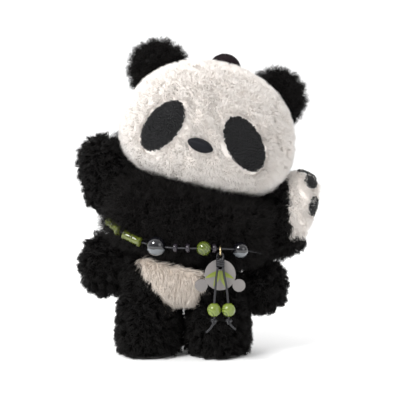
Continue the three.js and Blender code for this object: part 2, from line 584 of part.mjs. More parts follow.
function buildTassels() {
  for (const [side, offsets] of Object.entries(TASSELS)) {
    const line = plateHole.x + BEADS_SHIFT + (side === 'left' ? -BEADS_APART : BEADS_APART) / 2;
    const route = offsets.map(([x, y, z]) => [line + x, plateHole.y + y, plateHole.z + z]);
    add(`${side}_tassel_cord`, cordGeometry(route), 'cord');
    const [bead, knot] = [new THREE.Vector3(...route[3]), new THREE.Vector3(...route[4])];
    const along = new THREE.Vector3().subVectors(bead, knot).normalize();
    const hole = CORD.radius + 2 * GAP;
    const ball = beadGeometry(roundOutline(GLASS_BEAD.size, hole), hole, bead, along);
    add(`${side}_glass_bead`, ball, 'green');
    const knotHole = hole + GAP / 3;
    const tied = beadGeometry(roundOutline(KNOT.size, knotHole, 6), knotHole, knot, along);
    add(`${side}_tassel_knot`, tied, 'cord');
  }
}

buildHead();
buildChest();
buildArms();
buildBody();
buildString();
buildCharm();
buildTassels();

// The figure stands on the ground with the middle of its box at the origin. The tassels hang
// free, so they are left out of the box.
panda.updateMatrixWorld(true);
const box = new THREE.Box3();
figure.traverse((piece) => {
  if (piece.isMesh && !/_(tassel_cord|tassel_knot|glass_bead)$/.test(piece.name)) {
    box.expandByObject(piece, true);
  }
});
figure.position.set(-(box.min.x + box.max.x) / 2, -(box.min.y + box.max.y) / 2, -box.min.z);

export default panda;
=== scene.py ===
# %% [markdown]
# # A standing plush panda
# The toy is sewn fur over stuffing, with a string of glass beads and a hanging charm.
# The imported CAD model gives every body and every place, so it is loaded first. All sizes here
# are in metres, and a small helper `mm` keeps the numbers readable.

# %% Load the frame
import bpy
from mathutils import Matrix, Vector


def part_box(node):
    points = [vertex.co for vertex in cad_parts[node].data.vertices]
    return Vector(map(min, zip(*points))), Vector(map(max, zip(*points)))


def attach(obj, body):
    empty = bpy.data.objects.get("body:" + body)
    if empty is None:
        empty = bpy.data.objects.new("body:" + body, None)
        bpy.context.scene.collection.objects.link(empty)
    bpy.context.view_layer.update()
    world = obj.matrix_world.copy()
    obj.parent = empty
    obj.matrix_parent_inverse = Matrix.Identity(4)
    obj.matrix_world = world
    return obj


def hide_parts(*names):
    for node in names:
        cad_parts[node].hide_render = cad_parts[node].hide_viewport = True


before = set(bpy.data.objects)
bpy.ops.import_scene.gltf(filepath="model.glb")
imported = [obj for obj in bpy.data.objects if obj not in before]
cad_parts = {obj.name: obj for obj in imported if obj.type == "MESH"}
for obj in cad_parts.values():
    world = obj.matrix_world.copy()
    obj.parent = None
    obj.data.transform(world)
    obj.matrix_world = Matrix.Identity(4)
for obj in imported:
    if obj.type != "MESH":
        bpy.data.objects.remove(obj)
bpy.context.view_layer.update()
import math
import bmesh
import bpy
import numpy as np
from mathutils import Vector
from mathutils.kdtree import KDTree


def mm(value):
    return value * 0.001


scene = bpy.context.scene

# %% [markdown]
# ## Camera
# A toy portrait is taken from far away with a long lens, so that the big head does not swell.
# The camera stands almost level with the panda and looks at the middle of its height.

# %% Camera
LENS = 100.0
FRAME_WIDTH = mm(234)
camera_data = bpy.data.cameras.new("portrait_camera")
camera_data.lens = LENS
camera_data.sensor_width = 36
camera = bpy.data.objects.new("portrait_camera", camera_data)
scene.collection.objects.link(camera)
scene.camera = camera
camera_far = FRAME_WIDTH / camera_data.sensor_width * LENS
camera_up = math.radians(4)
target = Vector((0, 0, mm(90)))
camera.location = target + Vector((0, -math.cos(camera_up), math.sin(camera_up))) * camera_far
camera.rotation_euler = (target - camera.location).to_track_quat("-Z", "Y").to_euler()
print("camera stands", round(camera_far, 3), "m away")

# %% [markdown]
# ## Mesh helpers
# Fur and beads are made of many thousand small faces. Building them as arrays and handing the
# arrays to Blender in one go takes seconds, where adding faces one by one takes minutes.

# %% Mesh from arrays
def mesh_object(name, points, loops, sizes, material=None, smooth=True):
    mesh = bpy.data.meshes.new(name)
    mesh.vertices.add(len(points))
    mesh.vertices.foreach_set("co", np.asarray(points, np.float32).ravel())
    mesh.loops.add(len(loops))
    mesh.loops.foreach_set("vertex_index", np.asarray(loops, np.int32))
    mesh.polygons.add(len(sizes))
    starts = np.concatenate([[0], np.cumsum(sizes)[:-1]]).astype(np.int32)
    mesh.polygons.foreach_set("loop_start", starts)
    mesh.polygons.foreach_set("use_smooth", np.full(len(sizes), smooth))
    mesh.update(calc_edges=True)
    obj = bpy.data.objects.new(name, mesh)
    scene.collection.objects.link(obj)
    if material:
        mesh.materials.append(material)
    return obj


def sweep(name, path, radius, material, sides=10, closed=False, twist=0.0, ridge=0.0):
    """A tube along a line of points. ridge and twist give it the lay of a plied cord."""
    path = np.asarray(path, float)
    count = len(path)
    if closed:
        along = np.roll(path, -1, 0) - np.roll(path, 1, 0)
    else:
        along = np.gradient(path, axis=0)
    along /= np.linalg.norm(along, axis=1)[:, None]
    side = np.cross(along[0], [0, 0, 1.0])
    if np.linalg.norm(side) < 0.1:
        side = np.cross(along[0], [1.0, 0, 0])
    points = []
    angles = np.arange(sides) * 2 * math.pi / sides
    for i in range(count):
        side = side - along[i] * np.dot(side, along[i])
        side /= np.linalg.norm(side)
        up = np.cross(along[i], side)
        reach = radius[i] if np.ndim(radius) else radius
        wave = 1 + ridge * np.cos(3 * angles + twist * i)
        ring = np.cos(angles)[:, None] * side + np.sin(angles)[:, None] * up
        points.append(path[i] + ring * (reach * wave)[:, None])
    points = np.concatenate(points)
    loops, sizes = [], []
    for i in range(count if closed else count - 1):
        j = (i + 1) % count
        for k in range(sides):
            n = (k + 1) % sides
            loops += [i * sides + k, i * sides + n, j * sides + n, j * sides + k]
            sizes.append(4)
    if not closed:
        loops += list(range(sides))[::-1]
        loops += [(count - 1) * sides + k for k in range(sides)]
        sizes += [sides, sides]
    return mesh_object(name, points, loops, sizes, material)


def spline(points, count, closed=False):
    """A smooth line of evenly counted points through a few chosen ones."""
    points = np.asarray(points, float)
    total = len(points)
    found = []
    for i in range(total if closed else total - 1):
        if closed:
            p = [points[(i + k) % total] for k in (-1, 0, 1, 2)]
        else:
            p = [points[min(max(i + k, 0), total - 1)] for k in (-1, 0, 1, 2)]
        for t in np.linspace(0, 1, 12, endpoint=False):
            found.append(0.5 * (2 * p[1] + (p[2] - p[0]) * t
                                + (2 * p[0] - 5 * p[1] + 4 * p[2] - p[3]) * t * t
                                + (3 * p[1] - p[0] - 3 * p[2] + p[3]) * t ** 3))
    if not closed:
        found.append(points[-1])
    found = np.array(found)
    ends = np.vstack([found, found[:1]]) if closed else found
    steps = np.concatenate([[0], np.cumsum(np.linalg.norm(np.diff(ends, axis=0), axis=1))])
    wanted = np.linspace(0, steps[-1], count, endpoint=not closed)
    return np.stack([np.interp(wanted, steps, ends[:, k]) for k in range(3)], 1)


print("mesh helpers ready")

# %% [markdown]
# ## Shared shader groups
# Three effects turn up in more than one material. `pile_tone` colours fur from a dark root, painted
# shade deep in the pile, to a light tip with patches, `fine_grain` gives cloth, cord and felt a small
# relief, and `smoked_streaks` runs wavy bands through glass. Each is a node group with named sockets.

# %% Shader group helpers
def new_group(name, inputs, outputs):
    group = bpy.data.node_groups.new(name, "ShaderNodeTree")
    for label, kind, value in inputs:
        socket = group.interface.new_socket(name=label, in_out="INPUT", socket_type=kind)
        if value is not None:
            socket.default_value = value
    for label, kind in outputs:
        group.interface.new_socket(name=label, in_out="OUTPUT", socket_type=kind)
    return group, group.nodes.new("NodeGroupInput"), group.nodes.new("NodeGroupOutput")


def noise_node(tree, scale, detail=3.0, distortion=0.0, vector=None):
    node = tree.nodes.new("ShaderNodeTexNoise")
    node.inputs["Scale"].default_value = scale
    node.inputs["Detail"].default_value = detail
    node.inputs["Distortion"].default_value = distortion
    if vector:
        tree.links.new(vector, node.inputs["Vector"])
    return node


def math_node(tree, operation, first, second=None):
    node = tree.nodes.new("ShaderNodeMath")
    node.operation = operation
    for socket, value in zip(node.inputs, (first, second)):
        if value is None:
            continue
        if isinstance(value, (int, float)):
            socket.default_value = value
        else:
            tree.links.new(value, socket)
    return node.outputs[0]


def mix_colour(tree, share, first, second):
    node = tree.nodes.new("ShaderNodeMix")
    node.data_type = "RGBA"
    for socket, value in ((node.inputs[0], share), (node.inputs[6], first), (node.inputs[7], second)):
        if isinstance(value, (tuple, float, int)):
            socket.default_value = value
        else:
            tree.links.new(value, socket)
    return node.outputs[2]


# %% Shader groups
FLOAT, COLOUR, VECTOR = "NodeSocketFloat", "NodeSocketColor", "NodeSocketVector"
pile_tone, given, result = new_group(
    "pile_tone",
    [("Root", COLOUR, (0, 0, 0, 1)), ("Tip", COLOUR, (1, 1, 1, 1)), ("Shade", COLOUR, (0, 0, 0, 1)),
     ("Along", FLOAT, 0.5), ("Tint", FLOAT, 0.5), ("Patches", FLOAT, 0.3), ("Patch Scale", FLOAT, 90.0)],
    [("Colour", COLOUR)])
coords = pile_tone.nodes.new("ShaderNodeTexCoord")
patch = noise_node(pile_tone, 90, 2.0, 0.0, coords.outputs["Object"])
pile_tone.links.new(given.outputs["Patch Scale"], patch.inputs["Scale"])
# Darker towards the root: painted shade deep in the pile.
rise = math_node(pile_tone, "POWER", given.outputs["Along"], 0.7)
lit = mix_colour(pile_tone, rise, given.outputs["Root"], given.outputs["Tip"])
spread = math_node(pile_tone, "ADD", patch.outputs["Fac"], given.outputs["Tint"])
spread = math_node(pile_tone, "MULTIPLY", math_node(pile_tone, "SUBTRACT", spread, 0.55), 1.6)
spread = math_node(pile_tone, "MINIMUM", math_node(pile_tone, "MAXIMUM", spread, 0.0), 1.0)
amount = math_node(pile_tone, "MULTIPLY", spread, given.outputs["Patches"])
pile_tone.links.new(mix_colour(pile_tone, amount, lit, given.outputs["Shade"]), result.inputs["Colour"])

fine_grain, given, result = new_group(
    "fine_grain", [("Scale", FLOAT, 900.0), ("Stretch", VECTOR, (1.0, 1.0, 1.0))],
    [("Height", FLOAT), ("Mask", FLOAT)])
coords = fine_grain.nodes.new("ShaderNodeTexCoord")
stretched = fine_grain.nodes.new("ShaderNodeVectorMath")
stretched.operation = "MULTIPLY"
fine_grain.links.new(coords.outputs["Object"], stretched.inputs[0])
fine_grain.links.new(given.outputs["Stretch"], stretched.inputs[1])
grain = noise_node(fine_grain, 900, 4.0, 0.2, stretched.outputs[0])
fine_grain.links.new(given.outputs["Scale"], grain.inputs["Scale"])
soft = noise_node(fine_grain, 120, 1.0, 0.0, coords.outputs["Object"])
fine_grain.links.new(grain.outputs["Fac"], result.inputs["Height"])
fine_grain.links.new(soft.outputs["Fac"], result.inputs["Mask"])

smoked_streaks, given, result = new_group(
    "smoked_streaks", [("Scale", FLOAT, 300.0), ("Wander", FLOAT, 3.0), ("Sharpness", FLOAT, 4.0)],
    [("Mask", FLOAT)])
coords = smoked_streaks.nodes.new("ShaderNodeTexCoord")
waves = smoked_streaks.nodes.new("ShaderNodeTexWave")
waves.bands_direction = "DIAGONAL"
waves.inputs["Detail"].default_value = 1.0
smoked_streaks.links.new(coords.outputs["Object"], waves.inputs["Vector"])
smoked_streaks.links.new(given.outputs["Scale"], waves.inputs["Scale"])
smoked_streaks.links.new(given.outputs["Wander"], waves.inputs["Distortion"])
sharp = math_node(smoked_streaks, "POWER", waves.outputs["Fac"], given.outputs["Sharpness"])
smoked_streaks.links.new(sharp, result.inputs["Mask"])
print("groups:", [g.name for g in bpy.data.node_groups])

# %% [markdown]
# ## Materials
# Every finish starts from one helper that sets the plain sockets, and then adds its own nodes.
# Sheen gives cloth the pale edge that fibres have when light comes from the side.

# %% Material helper
def fill_socket(socket, value):
    """A colour is given as three numbers, and its socket wants a fourth."""
    if isinstance(value, tuple) and len(socket.default_value) == 4:
        value = (*value, 1)
    socket.default_value = value


def finish(name, colour, roughness=0.8, **sockets):
    made = bpy.data.materials.new(name)
    made.use_nodes = True
    tree = made.node_tree
    shader = tree.nodes["Principled BSDF"]
    shader.inputs["Base Color"].default_value = (*colour, 1)
    shader.inputs["Roughness"].default_value = roughness
    for label, value in sockets.items():
        fill_socket(shader.inputs[label.replace("_", " ")], value)
    return made, tree, shader


def add_group(tree, group, **values):
    node = tree.nodes.new("ShaderNodeGroup")
    node.node_tree = group
    for label, value in values.items():
        fill_socket(node.inputs[label.replace("_", " ")], value)
    return node


def relief(tree, shader, height, strength, depth):
    bump = tree.nodes.new("ShaderNodeBump")
    bump.inputs["Strength"].default_value = strength
    bump.inputs["Distance"].default_value = depth
    tree.links.new(height, bump.inputs["Height"])
    tree.links.new(bump.outputs[0], shader.inputs["Normal"])


def attribute(tree, name):
    node = tree.nodes.new("ShaderNodeAttribute")
    node.attribute_name = name
    return node.outputs["Fac"]


# %% Fur materials
def fur_finish(name, root, tip, shade, patches, patch_scale, roughness, sheen, gloss=0.25):
    made, tree, shader = finish(name, tip, roughness, Sheen_Weight=sheen, Sheen_Roughness=0.4,
                                Specular_IOR_Level=gloss)
    tone = add_group(tree, pile_tone, Root=root, Tip=tip, Shade=shade, Patches=patches,
                     Patch_Scale=patch_scale)
    tree.links.new(attribute(tree, "along"), tone.inputs["Along"])
    tree.links.new(attribute(tree, "tint"), tone.inputs["Tint"])
    tree.links.new(tone.outputs[0], shader.inputs["Base Color"])
    return made


cream_pile = fur_finish("cream_pile", (0.91, 0.855, 0.81), (0.955, 0.915, 0.875),
                        (0.93, 0.875, 0.83), 0.12, 60.0, 0.8, 0.3)
# The belly cream is a darker copy of the cream pile: painted shade where the chest overhangs the belly.
shaded_belly_cream = fur_finish("shaded_belly_cream", (0.62, 0.53, 0.45), (0.80, 0.73, 0.66),
                         (0.70, 0.61, 0.53), 0.2, 60.0, 0.8, 0.15)
black_pile = fur_finish("black_pile", (0.0012, 0.0011, 0.0011), (0.0048, 0.0043, 0.0042),
                        (0.014, 0.012, 0.011), 0.4, 140.0, 0.5, 0.0, 0.18)
brown_pile = fur_finish("brown_pile", (0.0014, 0.0013, 0.0013), (0.0058, 0.0050, 0.0048),
                        (0.020, 0.017, 0.016), 0.4, 120.0, 0.55, 0.0, 0.18)
loop_thread = fur_finish("loop_thread", (0.0010, 0.0010, 0.0012), (0.0035, 0.0036, 0.0042),
                         (0.005, 0.005, 0.006), 0.4, 200.0, 0.26, 0.0, 0.28)
print("fur finishes ready")

# %% Cloth, satin, felt and cord materials
THREAD_RELIEF = 0.0002


def cloth_finish(name, colour, second, roughness, scale, strength, stretch=(1.0, 1.0, 1.0), **sockets):
    made, tree, shader = finish(name, colour, roughness, **sockets)
    grain_node = add_group(tree, fine_grain, Scale=scale, Stretch=stretch)
    tint = mix_colour(tree, grain_node.outputs["Mask"], (*colour, 1), (*second, 1))
    tree.links.new(tint, shader.inputs["Base Color"])
    relief(tree, shader, grain_node.outputs["Height"], strength, THREAD_RELIEF)
    return made


satin_thread = cloth_finish("satin_thread", (0.004, 0.0042, 0.006), (0.009, 0.010, 0.014), 0.36, 2600, 0.5,
                            (1.0, 1.0, 0.06), Specular_IOR_Level=0.12, Anisotropic=0.3)
plum_felt = cloth_finish("plum_felt", (0.012, 0.007, 0.0085), (0.022, 0.013, 0.016), 0.8, 1500, 0.5,
                         Specular_IOR_Level=0.2)
black_cord = cloth_finish("black_cord", (0.006, 0.006, 0.008), (0.014, 0.014, 0.018), 0.5, 2200, 0.4)
sole_cloth = cloth_finish("sole_cloth", (0.012, 0.011, 0.011), (0.022, 0.020, 0.019), 0.85, 1200, 0.6,
                          Sheen_Weight=0.2)
moulded_nylon = cloth_finish("moulded_nylon", (0.78, 0.76, 0.70), (0.70, 0.68, 0.62), 0.42, 700, 0.12)

# %% Glass and gold materials
def glass_finish(name, clear, streak, scale, roughness=0.04, transmission=0.75, wander=3.0, sharp=3.0):
    made, tree, shader = finish(name, clear, roughness, Transmission_Weight=transmission, IOR=1.5,
                                Coat_Weight=0.4, Coat_Roughness=0.03)
    bands = add_group(tree, smoked_streaks, Scale=scale, Wander=wander, Sharpness=sharp)
    colour = mix_colour(tree, bands.outputs[0], (*clear, 1), (*streak, 1))
    tree.links.new(colour, shader.inputs["Base Color"])
    return made


olive_glass = glass_finish("olive_glass", (0.115, 0.14, 0.016), (0.07, 0.085, 0.008), 160, 0.12, 0.2)
green_glass = glass_finish("green_glass", (0.07, 0.10, 0.008), (0.15, 0.19, 0.03), 260, 0.08, 0.25)
striped_glass = glass_finish("striped_glass", (0.24, 0.31, 0.045), (0.05, 0.085, 0.005), 420,
                             0.04, 0.2, 1.5, 1.6)
spacer_glass = cloth_finish("spacer_glass", (0.012, 0.010, 0.014), (0.026, 0.020, 0.028), 0.2, 300, 0.05)

# Black glass whose lower half, where the normal points down, is painted light grey with a wavy edge: a
# painted reflection of the pale floor.
ball_glaze_painted_reflection, tree, shader = finish("ball_glaze_painted_reflection", (0.01, 0.01, 0.012), 0.08, Coat_Weight=0.6,
                                  Coat_Roughness=0.04)
coords = tree.nodes.new("ShaderNodeTexCoord")
height = tree.nodes.new("ShaderNodeSeparateXYZ")
tree.links.new(coords.outputs["Normal"], height.inputs[0])
wobble = noise_node(tree, 260, 1.0, 0.0, coords.outputs["Object"])
wave_up = math_node(tree, "MULTIPLY", wobble.outputs["Fac"], 0.25)
level = math_node(tree, "ADD", height.outputs["Z"], wave_up)
under = math_node(tree, "LESS_THAN", level, -0.12)
tree.links.new(mix_colour(tree, under, (0.005, 0.005, 0.007, 1), (0.12, 0.13, 0.14, 1)),
               shader.inputs["Base Color"])

pale_gold, tree, shader = finish("pale_gold", (0.62, 0.50, 0.28), 0.25, Metallic=1.0)
worn = add_group(tree, fine_grain, Scale=1800.0)
dull = math_node(tree, "MULTIPLY", worn.outputs["Mask"], 0.4)
tree.links.new(math_node(tree, "ADD", dull, 0.1), shader.inputs["Roughness"])

frosted_acrylic, tree, shader = finish("frosted_acrylic", (0.42, 0.39, 0.385), 0.32, Coat_Weight=0.3,
                                       Coat_Roughness=0.2)
coords = tree.nodes.new("ShaderNodeTexCoord")
facing = tree.nodes.new("ShaderNodeSeparateXYZ")
tree.links.new(coords.outputs["Normal"], facing.inputs[0])
rim = math_node(tree, "LESS_THAN", math_node(tree, "ABSOLUTE", facing.outputs["Y"]), 0.6)
fog = add_group(tree, fine_grain, Scale=500.0)
face_tone = mix_colour(tree, fog.outputs["Mask"], (0.17, 0.157, 0.15, 1), (0.12, 0.11, 0.107, 1))
tree.links.new(mix_colour(tree, rim, face_tone, (0.015, 0.014, 0.014, 1)), shader.inputs["Base Color"])

leaf_print, tree, shader = finish("leaf_print", (0.42, 0.50, 0.03), 0.35, Coat_Weight=0.3)
coords = tree.nodes.new("ShaderNodeTexCoord")
blade_tone = noise_node(tree, 180, 1.0, 0.0, coords.outputs["Object"])
tree.links.new(mix_colour(tree, blade_tone.outputs["Fac"], (0.22, 0.25, 0.015, 1), (0.08, 0.12, 0.01, 1)),
               shader.inputs["Base Color"])
ink, tree, shader = finish("black_ink", (0.008, 0.008, 0.008), 0.4)
spread = add_group(tree, fine_grain, Scale=900.0)
tree.links.new(mix_colour(tree, spread.outputs["Mask"], (0.006, 0.006, 0.006, 1), (0.02, 0.02, 0.02, 1)),
               shader.inputs["Base Color"])
print(len(bpy.data.materials), "materials")

# %% [markdown]
# ## The two tassel cords
# Two thin black cords hang from the hole in the charm plate. Each passes through a glass bead,
# is tied in a knot, and ends a little past it, cut off. A cord is one smooth line with the lay
# of three plies pressed into its surface, so a ridged tube along that line is enough.

# %% Tassel cords
CORD_RADIUS = mm(0.6)
HOLE_AT = (11.224, -32.76, 55.691)
TASSEL_ROUTES = {
    "left": [(-1.4, -3.1, -0.6), (-2.2, -3.6, -7), (-2.9, -4.4, -15), (-3.4, -4.7, -24.2),
             (-3.5, -4.7, -30.6), (-5, -4.5, -34), (-7.8, -4.2, -37)],
    "right": [(1.4, -3.1, -0.6), (2.6, -3.6, -7), (3.9, -4.4, -15), (4.6, -4.7, -24.2),
              (4.8, -4.7, -30.6), (6.3, -4.5, -33.2), (8.6, -4.2, -35.4)],
}
tassel_lines = {}
for side, offsets in TASSEL_ROUTES.items():
    line = spline([[mm(a + b) for a, b in zip(HOLE_AT, step)] for step in offsets], 36)
    cord = sweep(f"{side}_hanging_cord", line, CORD_RADIUS, black_cord, 12, twist=0.55, ridge=0.1)
    tassel_lines[side] = (cord, line)
    print(side, "cord is", round(1000 * np.linalg.norm(np.diff(line, axis=0), axis=1).sum(), 1), "mm long")

# %% [markdown]
# ## Skins under the fur
# Sewn fur has a cloth backing, and the pile grows out of it. The CAD covers and the stuffing
# inside them are joined, remeshed into one closed skin, smoothed and drawn in a little, so that
# the tips of the pile end where the cover's own surface was.

# %% Skin from CAD nodes
def skin_from(name, nodes, material, inset, voxel=1.4, smoothing=12):
    gathered = bmesh.new()
    for node in nodes:
        gathered.from_mesh(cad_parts[node].data)
    bmesh.ops.remove_doubles(gathered, verts=gathered.verts, dist=mm(0.001))
    mesh = bpy.data.meshes.new(name)
    gathered.to_mesh(mesh)
    gathered.free()
    obj = bpy.data.objects.new(name, mesh)
    scene.collection.objects.link(obj)
    remesh = obj.modifiers.new("even_faces", "REMESH")
    remesh.mode = "VOXEL"
    remesh.voxel_size = mm(voxel)
    soften = obj.modifiers.new("soften", "SMOOTH")
    soften.factor = 0.5
    soften.iterations = smoothing
    ready = obj.evaluated_get(bpy.context.evaluated_depsgraph_get())
    shape = bmesh.new()
    shape.from_mesh(ready.to_mesh())
    keep_largest(shape)
    shape.normal_update()
    for vertex in shape.verts:
        vertex.co -= vertex.normal * mm(inset)
    obj.modifiers.clear()
    for face in shape.faces:
        face.smooth = True
    shape.to_mesh(mesh)
    shape.free()
    mesh.materials.clear()
    mesh.materials.append(material)
    # The skin takes a colour near the pile's dark root: painted shade under the fur.
    level = mesh.attributes.new("along", "FLOAT", "POINT")
    level.data.foreach_set("value", np.full(len(mesh.vertices), 0.15, np.float32))
    level = mesh.attributes.new("tint", "FLOAT", "POINT")
    level.data.foreach_set("value", np.full(len(mesh.vertices), 0.4, np.float32))
    return obj


def keep_largest(shape):
    """Removes the small closed pockets that remeshing leaves round the joint discs."""
    shape.verts.ensure_lookup_table()
    seen = set()
    islands = []
    for start in shape.verts:
        if start in seen:
            continue
        seen.add(start)
        island, waiting = [], [start]
        while waiting:
            vertex = waiting.pop()
            island.append(vertex)
            for edge in vertex.link_edges:
                other = edge.other_vert(vertex)
                if other not in seen:
                    seen.add(other)
                    waiting.append(other)
        islands.append(island)
    islands.sort(key=len)
    for island in islands[:-1]:
        bmesh.ops.delete(shape, geom=island, context="VERTS")


# %% [markdown]
# ## Growing fur
# Real pile stands in small locks: fibres that lean together and meet near their tips. Each lock
# here is a curved, closed spike. The spikes start under the skin, bend with a comb direction
# and a slow swirl, and their tips are pulled towards shared points, which gives clumps.

# %% Surface samples
def surface_samples(obj, per_mm2, rng):
    """Random even places on a mesh with their normals."""
    mesh = obj.data
    mesh.calc_loop_triangles()
    tris = np.empty(len(mesh.loop_triangles) * 3, np.int32)
    mesh.loop_triangles.foreach_get("vertices", tris)
    tris = tris.reshape(-1, 3)
    co = np.empty(len(mesh.vertices) * 3, np.float32)
    mesh.vertices.foreach_get("co", co)
    co = co.reshape(-1, 3).astype(float)
    normals = np.empty(len(mesh.vertices) * 3, np.float32)
    mesh.vertices.foreach_get("normal", normals)
    normals = normals.reshape(-1, 3).astype(float)
    a, b, c = (co[tris[:, k]] for k in range(3))
    area = np.linalg.norm(np.cross(b - a, c - a), axis=1) / 2
    count = int(area.sum() * 1e6 * per_mm2)
    chosen = np.searchsorted(np.cumsum(area) / area.sum(), (np.arange(count) + rng.random(count)) / count)
    chosen = np.minimum(chosen, len(tris) - 1)
    u, v = rng.random((2, count))
    flip = u + v > 1
    u[flip], v[flip] = 1 - u[flip], 1 - v[flip]
    w = 1 - u - v
    corner = tris[chosen]
    share = np.stack([w, u, v], 1)[:, :, None]
    points = (co[corner] * share).sum(1)
    outward = (normals[corner] * share).sum(1)
    outward /= np.linalg.norm(outward, axis=1)[:, None] + 1e-12
    return points, outward


def swirl_field(points, scale, seed):
    """A smooth direction that wanders over the surface: a few slow waves added up."""
    rng = np.random.default_rng(seed)
    field = np.zeros_like(points)
    for step in range(7):
        wave = rng.normal(size=3)
        wave *= (1 + 0.35 * step) * 2 * math.pi / (scale * np.linalg.norm(wave))
        field += rng.normal(size=3) * np.sin(points @ wave + rng.random() * 6.28)[:, None]
    return field / 2.6


def nearest(points, targets):
    tree = KDTree(len(targets))
    for i, target in enumerate(targets):
        tree.insert(target, i)
    tree.balance()
    return np.array([tree.find(p)[1] for p in points])


# %% Locks of pile
def unit(vectors):
    return vectors / (np.linalg.norm(vectors, axis=1)[:, None] + 1e-12)


def locks(name, points, outward, look, material, body, seed, stretch=1.0):
    """Closed tapered spikes. look: length and width in mm, lean, comb, swirl, clump, curl."""
    rng = np.random.default_rng(seed)
    count = len(points)
    length = mm(look["length"]) * rng.uniform(0.7, 1.2, count) * stretch
    width = mm(look["width"]) * rng.uniform(0.75, 1.25, count)
    comb = np.array(look.get("comb", (0, 0, -1.0)))
    drift = comb + look["swirl"] * swirl_field(points, mm(look.get("swirl_size", 14)), seed)
    drift = drift + rng.normal(size=(count, 3)) * look.get("stray", 0.25)
    flat = drift - outward * (drift * outward).sum(1)[:, None]
    way = unit(outward * (1 - look["lean"]) + unit(flat) * look["lean"])
    tips = points + way * length[:, None]
    if look["clump"] > 0:
        centres = rng.choice(count, max(1, int(count / look.get("clump_size", 14))), replace=False)
        mine = centres[nearest(points, points[centres])]
        tips = tips + (tips[mine] - tips) * (look["clump"] * rng.uniform(0.6, 1.0, count))[:, None]
    side = unit(np.cross(way, outward + rng.normal(size=(count, 3)) * 0.3))
    hook = side * rng.choice([-1, 1], count)[:, None] * look["curl"] + flat * 0.2
    steps = look.get("steps", (0.0, 0.4, 0.75))
    fat = look.get("fat", (0.85, 1.0, 0.6))
    turn = rng.random(count) * 2 * math.pi
    across = unit(np.cross(way, rng.normal(size=(count, 3))))
    second = np.cross(way, across)
    start = points - outward * mm(look.get("sink", 0.5))
    rings = []
    for t, thick in zip(steps, fat):
        sag = hook * (length * math.sin(math.pi * min(t * 1.1, 1.0)))[:, None] * 0.5
        middle = start + (tips - start) * t + sag
        for k in range(3):
            angle = turn + k * 2 * math.pi / 3
            rings.append(middle + (np.cos(angle)[:, None] * across + np.sin(angle)[:, None] * second)
                         * (width * thick / 2)[:, None])
    end = start + (tips - start) + hook * (length * 0.5 * math.sin(math.pi * 1.1))[:, None] * 0.3
    rings.append(end)
    body_points = np.stack(rings, 1)
    body_points[:, :, 2] = np.maximum(body_points[:, :, 2], mm(0.25))
    return lock_pieces(name, body_points, steps, rng.random(count), material, body)


def lock_pieces(name, spikes, steps, tint, material, body):
    """Turns the spikes' points into meshes of at most 190,000 triangles, each with its own bake map."""
    levels = len(steps)
    each = 3 * levels + 1
    pattern, sizes, uv = [0, 2, 1], [3], [(0, 0), (1, 0), (0.5, 0)]
    marks = list(steps) + [1.0]
    for level in range(levels - 1):
        for k in range(3):
            n = (k + 1) % 3
            a, b = 3 * level, 3 * (level + 1)
            pattern += [a + k, a + n, b + n, b + k]
            sizes.append(4)
            low, high = marks[level], marks[level + 1]
            uv += [(k / 3, low), ((k + 1) / 3, low), ((k + 1) / 3, high), (k / 3, high)]
    for k in range(3):
        top = 3 * (levels - 1)
        pattern += [top + k, top + (k + 1) % 3, each - 1]
        sizes.append(3)
        uv += [(k / 3, marks[-2]), ((k + 1) / 3, marks[-2]), ((k + 0.5) / 3, 1.0)]
    triangles = sum(size - 2 for size in sizes)
    most = 190000 // triangles
    parts = max(1, math.ceil(len(spikes) / most))
    made = []
    for part in range(parts):
        mine = spikes[part::parts]
        count = len(mine)
        loops = (np.array(pattern)[None, :] + (np.arange(count) * each)[:, None]).ravel()
        label = name if parts == 1 else f"{name}_{part + 1}"
        obj = mesh_object(label, mine.reshape(-1, 3), loops, np.tile(sizes, count), material)
        along = obj.data.attributes.new("along", "FLOAT", "POINT")
        heights = np.tile(np.append(np.repeat(steps, 3), 1.0), count)
        along.data.foreach_set("value", heights.astype(np.float32))
        shade = obj.data.attributes.new("tint", "FLOAT", "POINT")
        shade.data.foreach_set("value", np.repeat(tint[part::parts], each).astype(np.float32))
        grid = math.ceil(math.sqrt(count))
        cell = np.stack([np.arange(count) % grid, np.arange(count) // grid], 1)
        places = (cell[:, None, :] + 0.1 + 0.8 * np.array(uv)[None, :, :]) / grid
        layer = obj.data.uv_layers.new(name="OFBake")
        layer.data.foreach_set("uv", places.reshape(-1).astype(np.float32))
        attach(obj, body)
        made.append(obj)
    return made


print("fur tools ready")

# %% [markdown]
# ## Where each colour of fur grows
# Two pieces of the toy carry two colours on one skin: the raised arms have a white palm, and
# the belly is a cream panel let into the black body. A search tree of each CAD cover tells how
# far a place on the skin is from that cover, and the nearer cover gives the colour.

# %% Distance to a CAD node
from mathutils.bvhtree import BVHTree
shape_trees = {}


def distance_to(points, node):
    if node not in shape_trees:
        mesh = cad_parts[node].data
        shape_trees[node] = BVHTree.FromPolygons([v.co for v in mesh.vertices],
                                                 [tuple(p.vertices) for p in mesh.polygons])
    return np.array([1000 * shape_trees[node].find_nearest(p)[3] for p in points])


def face_middles(obj):
    flat = np.empty(len(obj.data.polygons) * 3, np.float32)
    obj.data.polygons.foreach_get("center", flat)
    return flat.reshape(-1, 3)


def wear(obj, body, slot, *nodes):
    """The piece rides on a body and stands for its CAD nodes, which it hides. The slot is not used."""
    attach(obj, body)
    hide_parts(*nodes)
    return obj


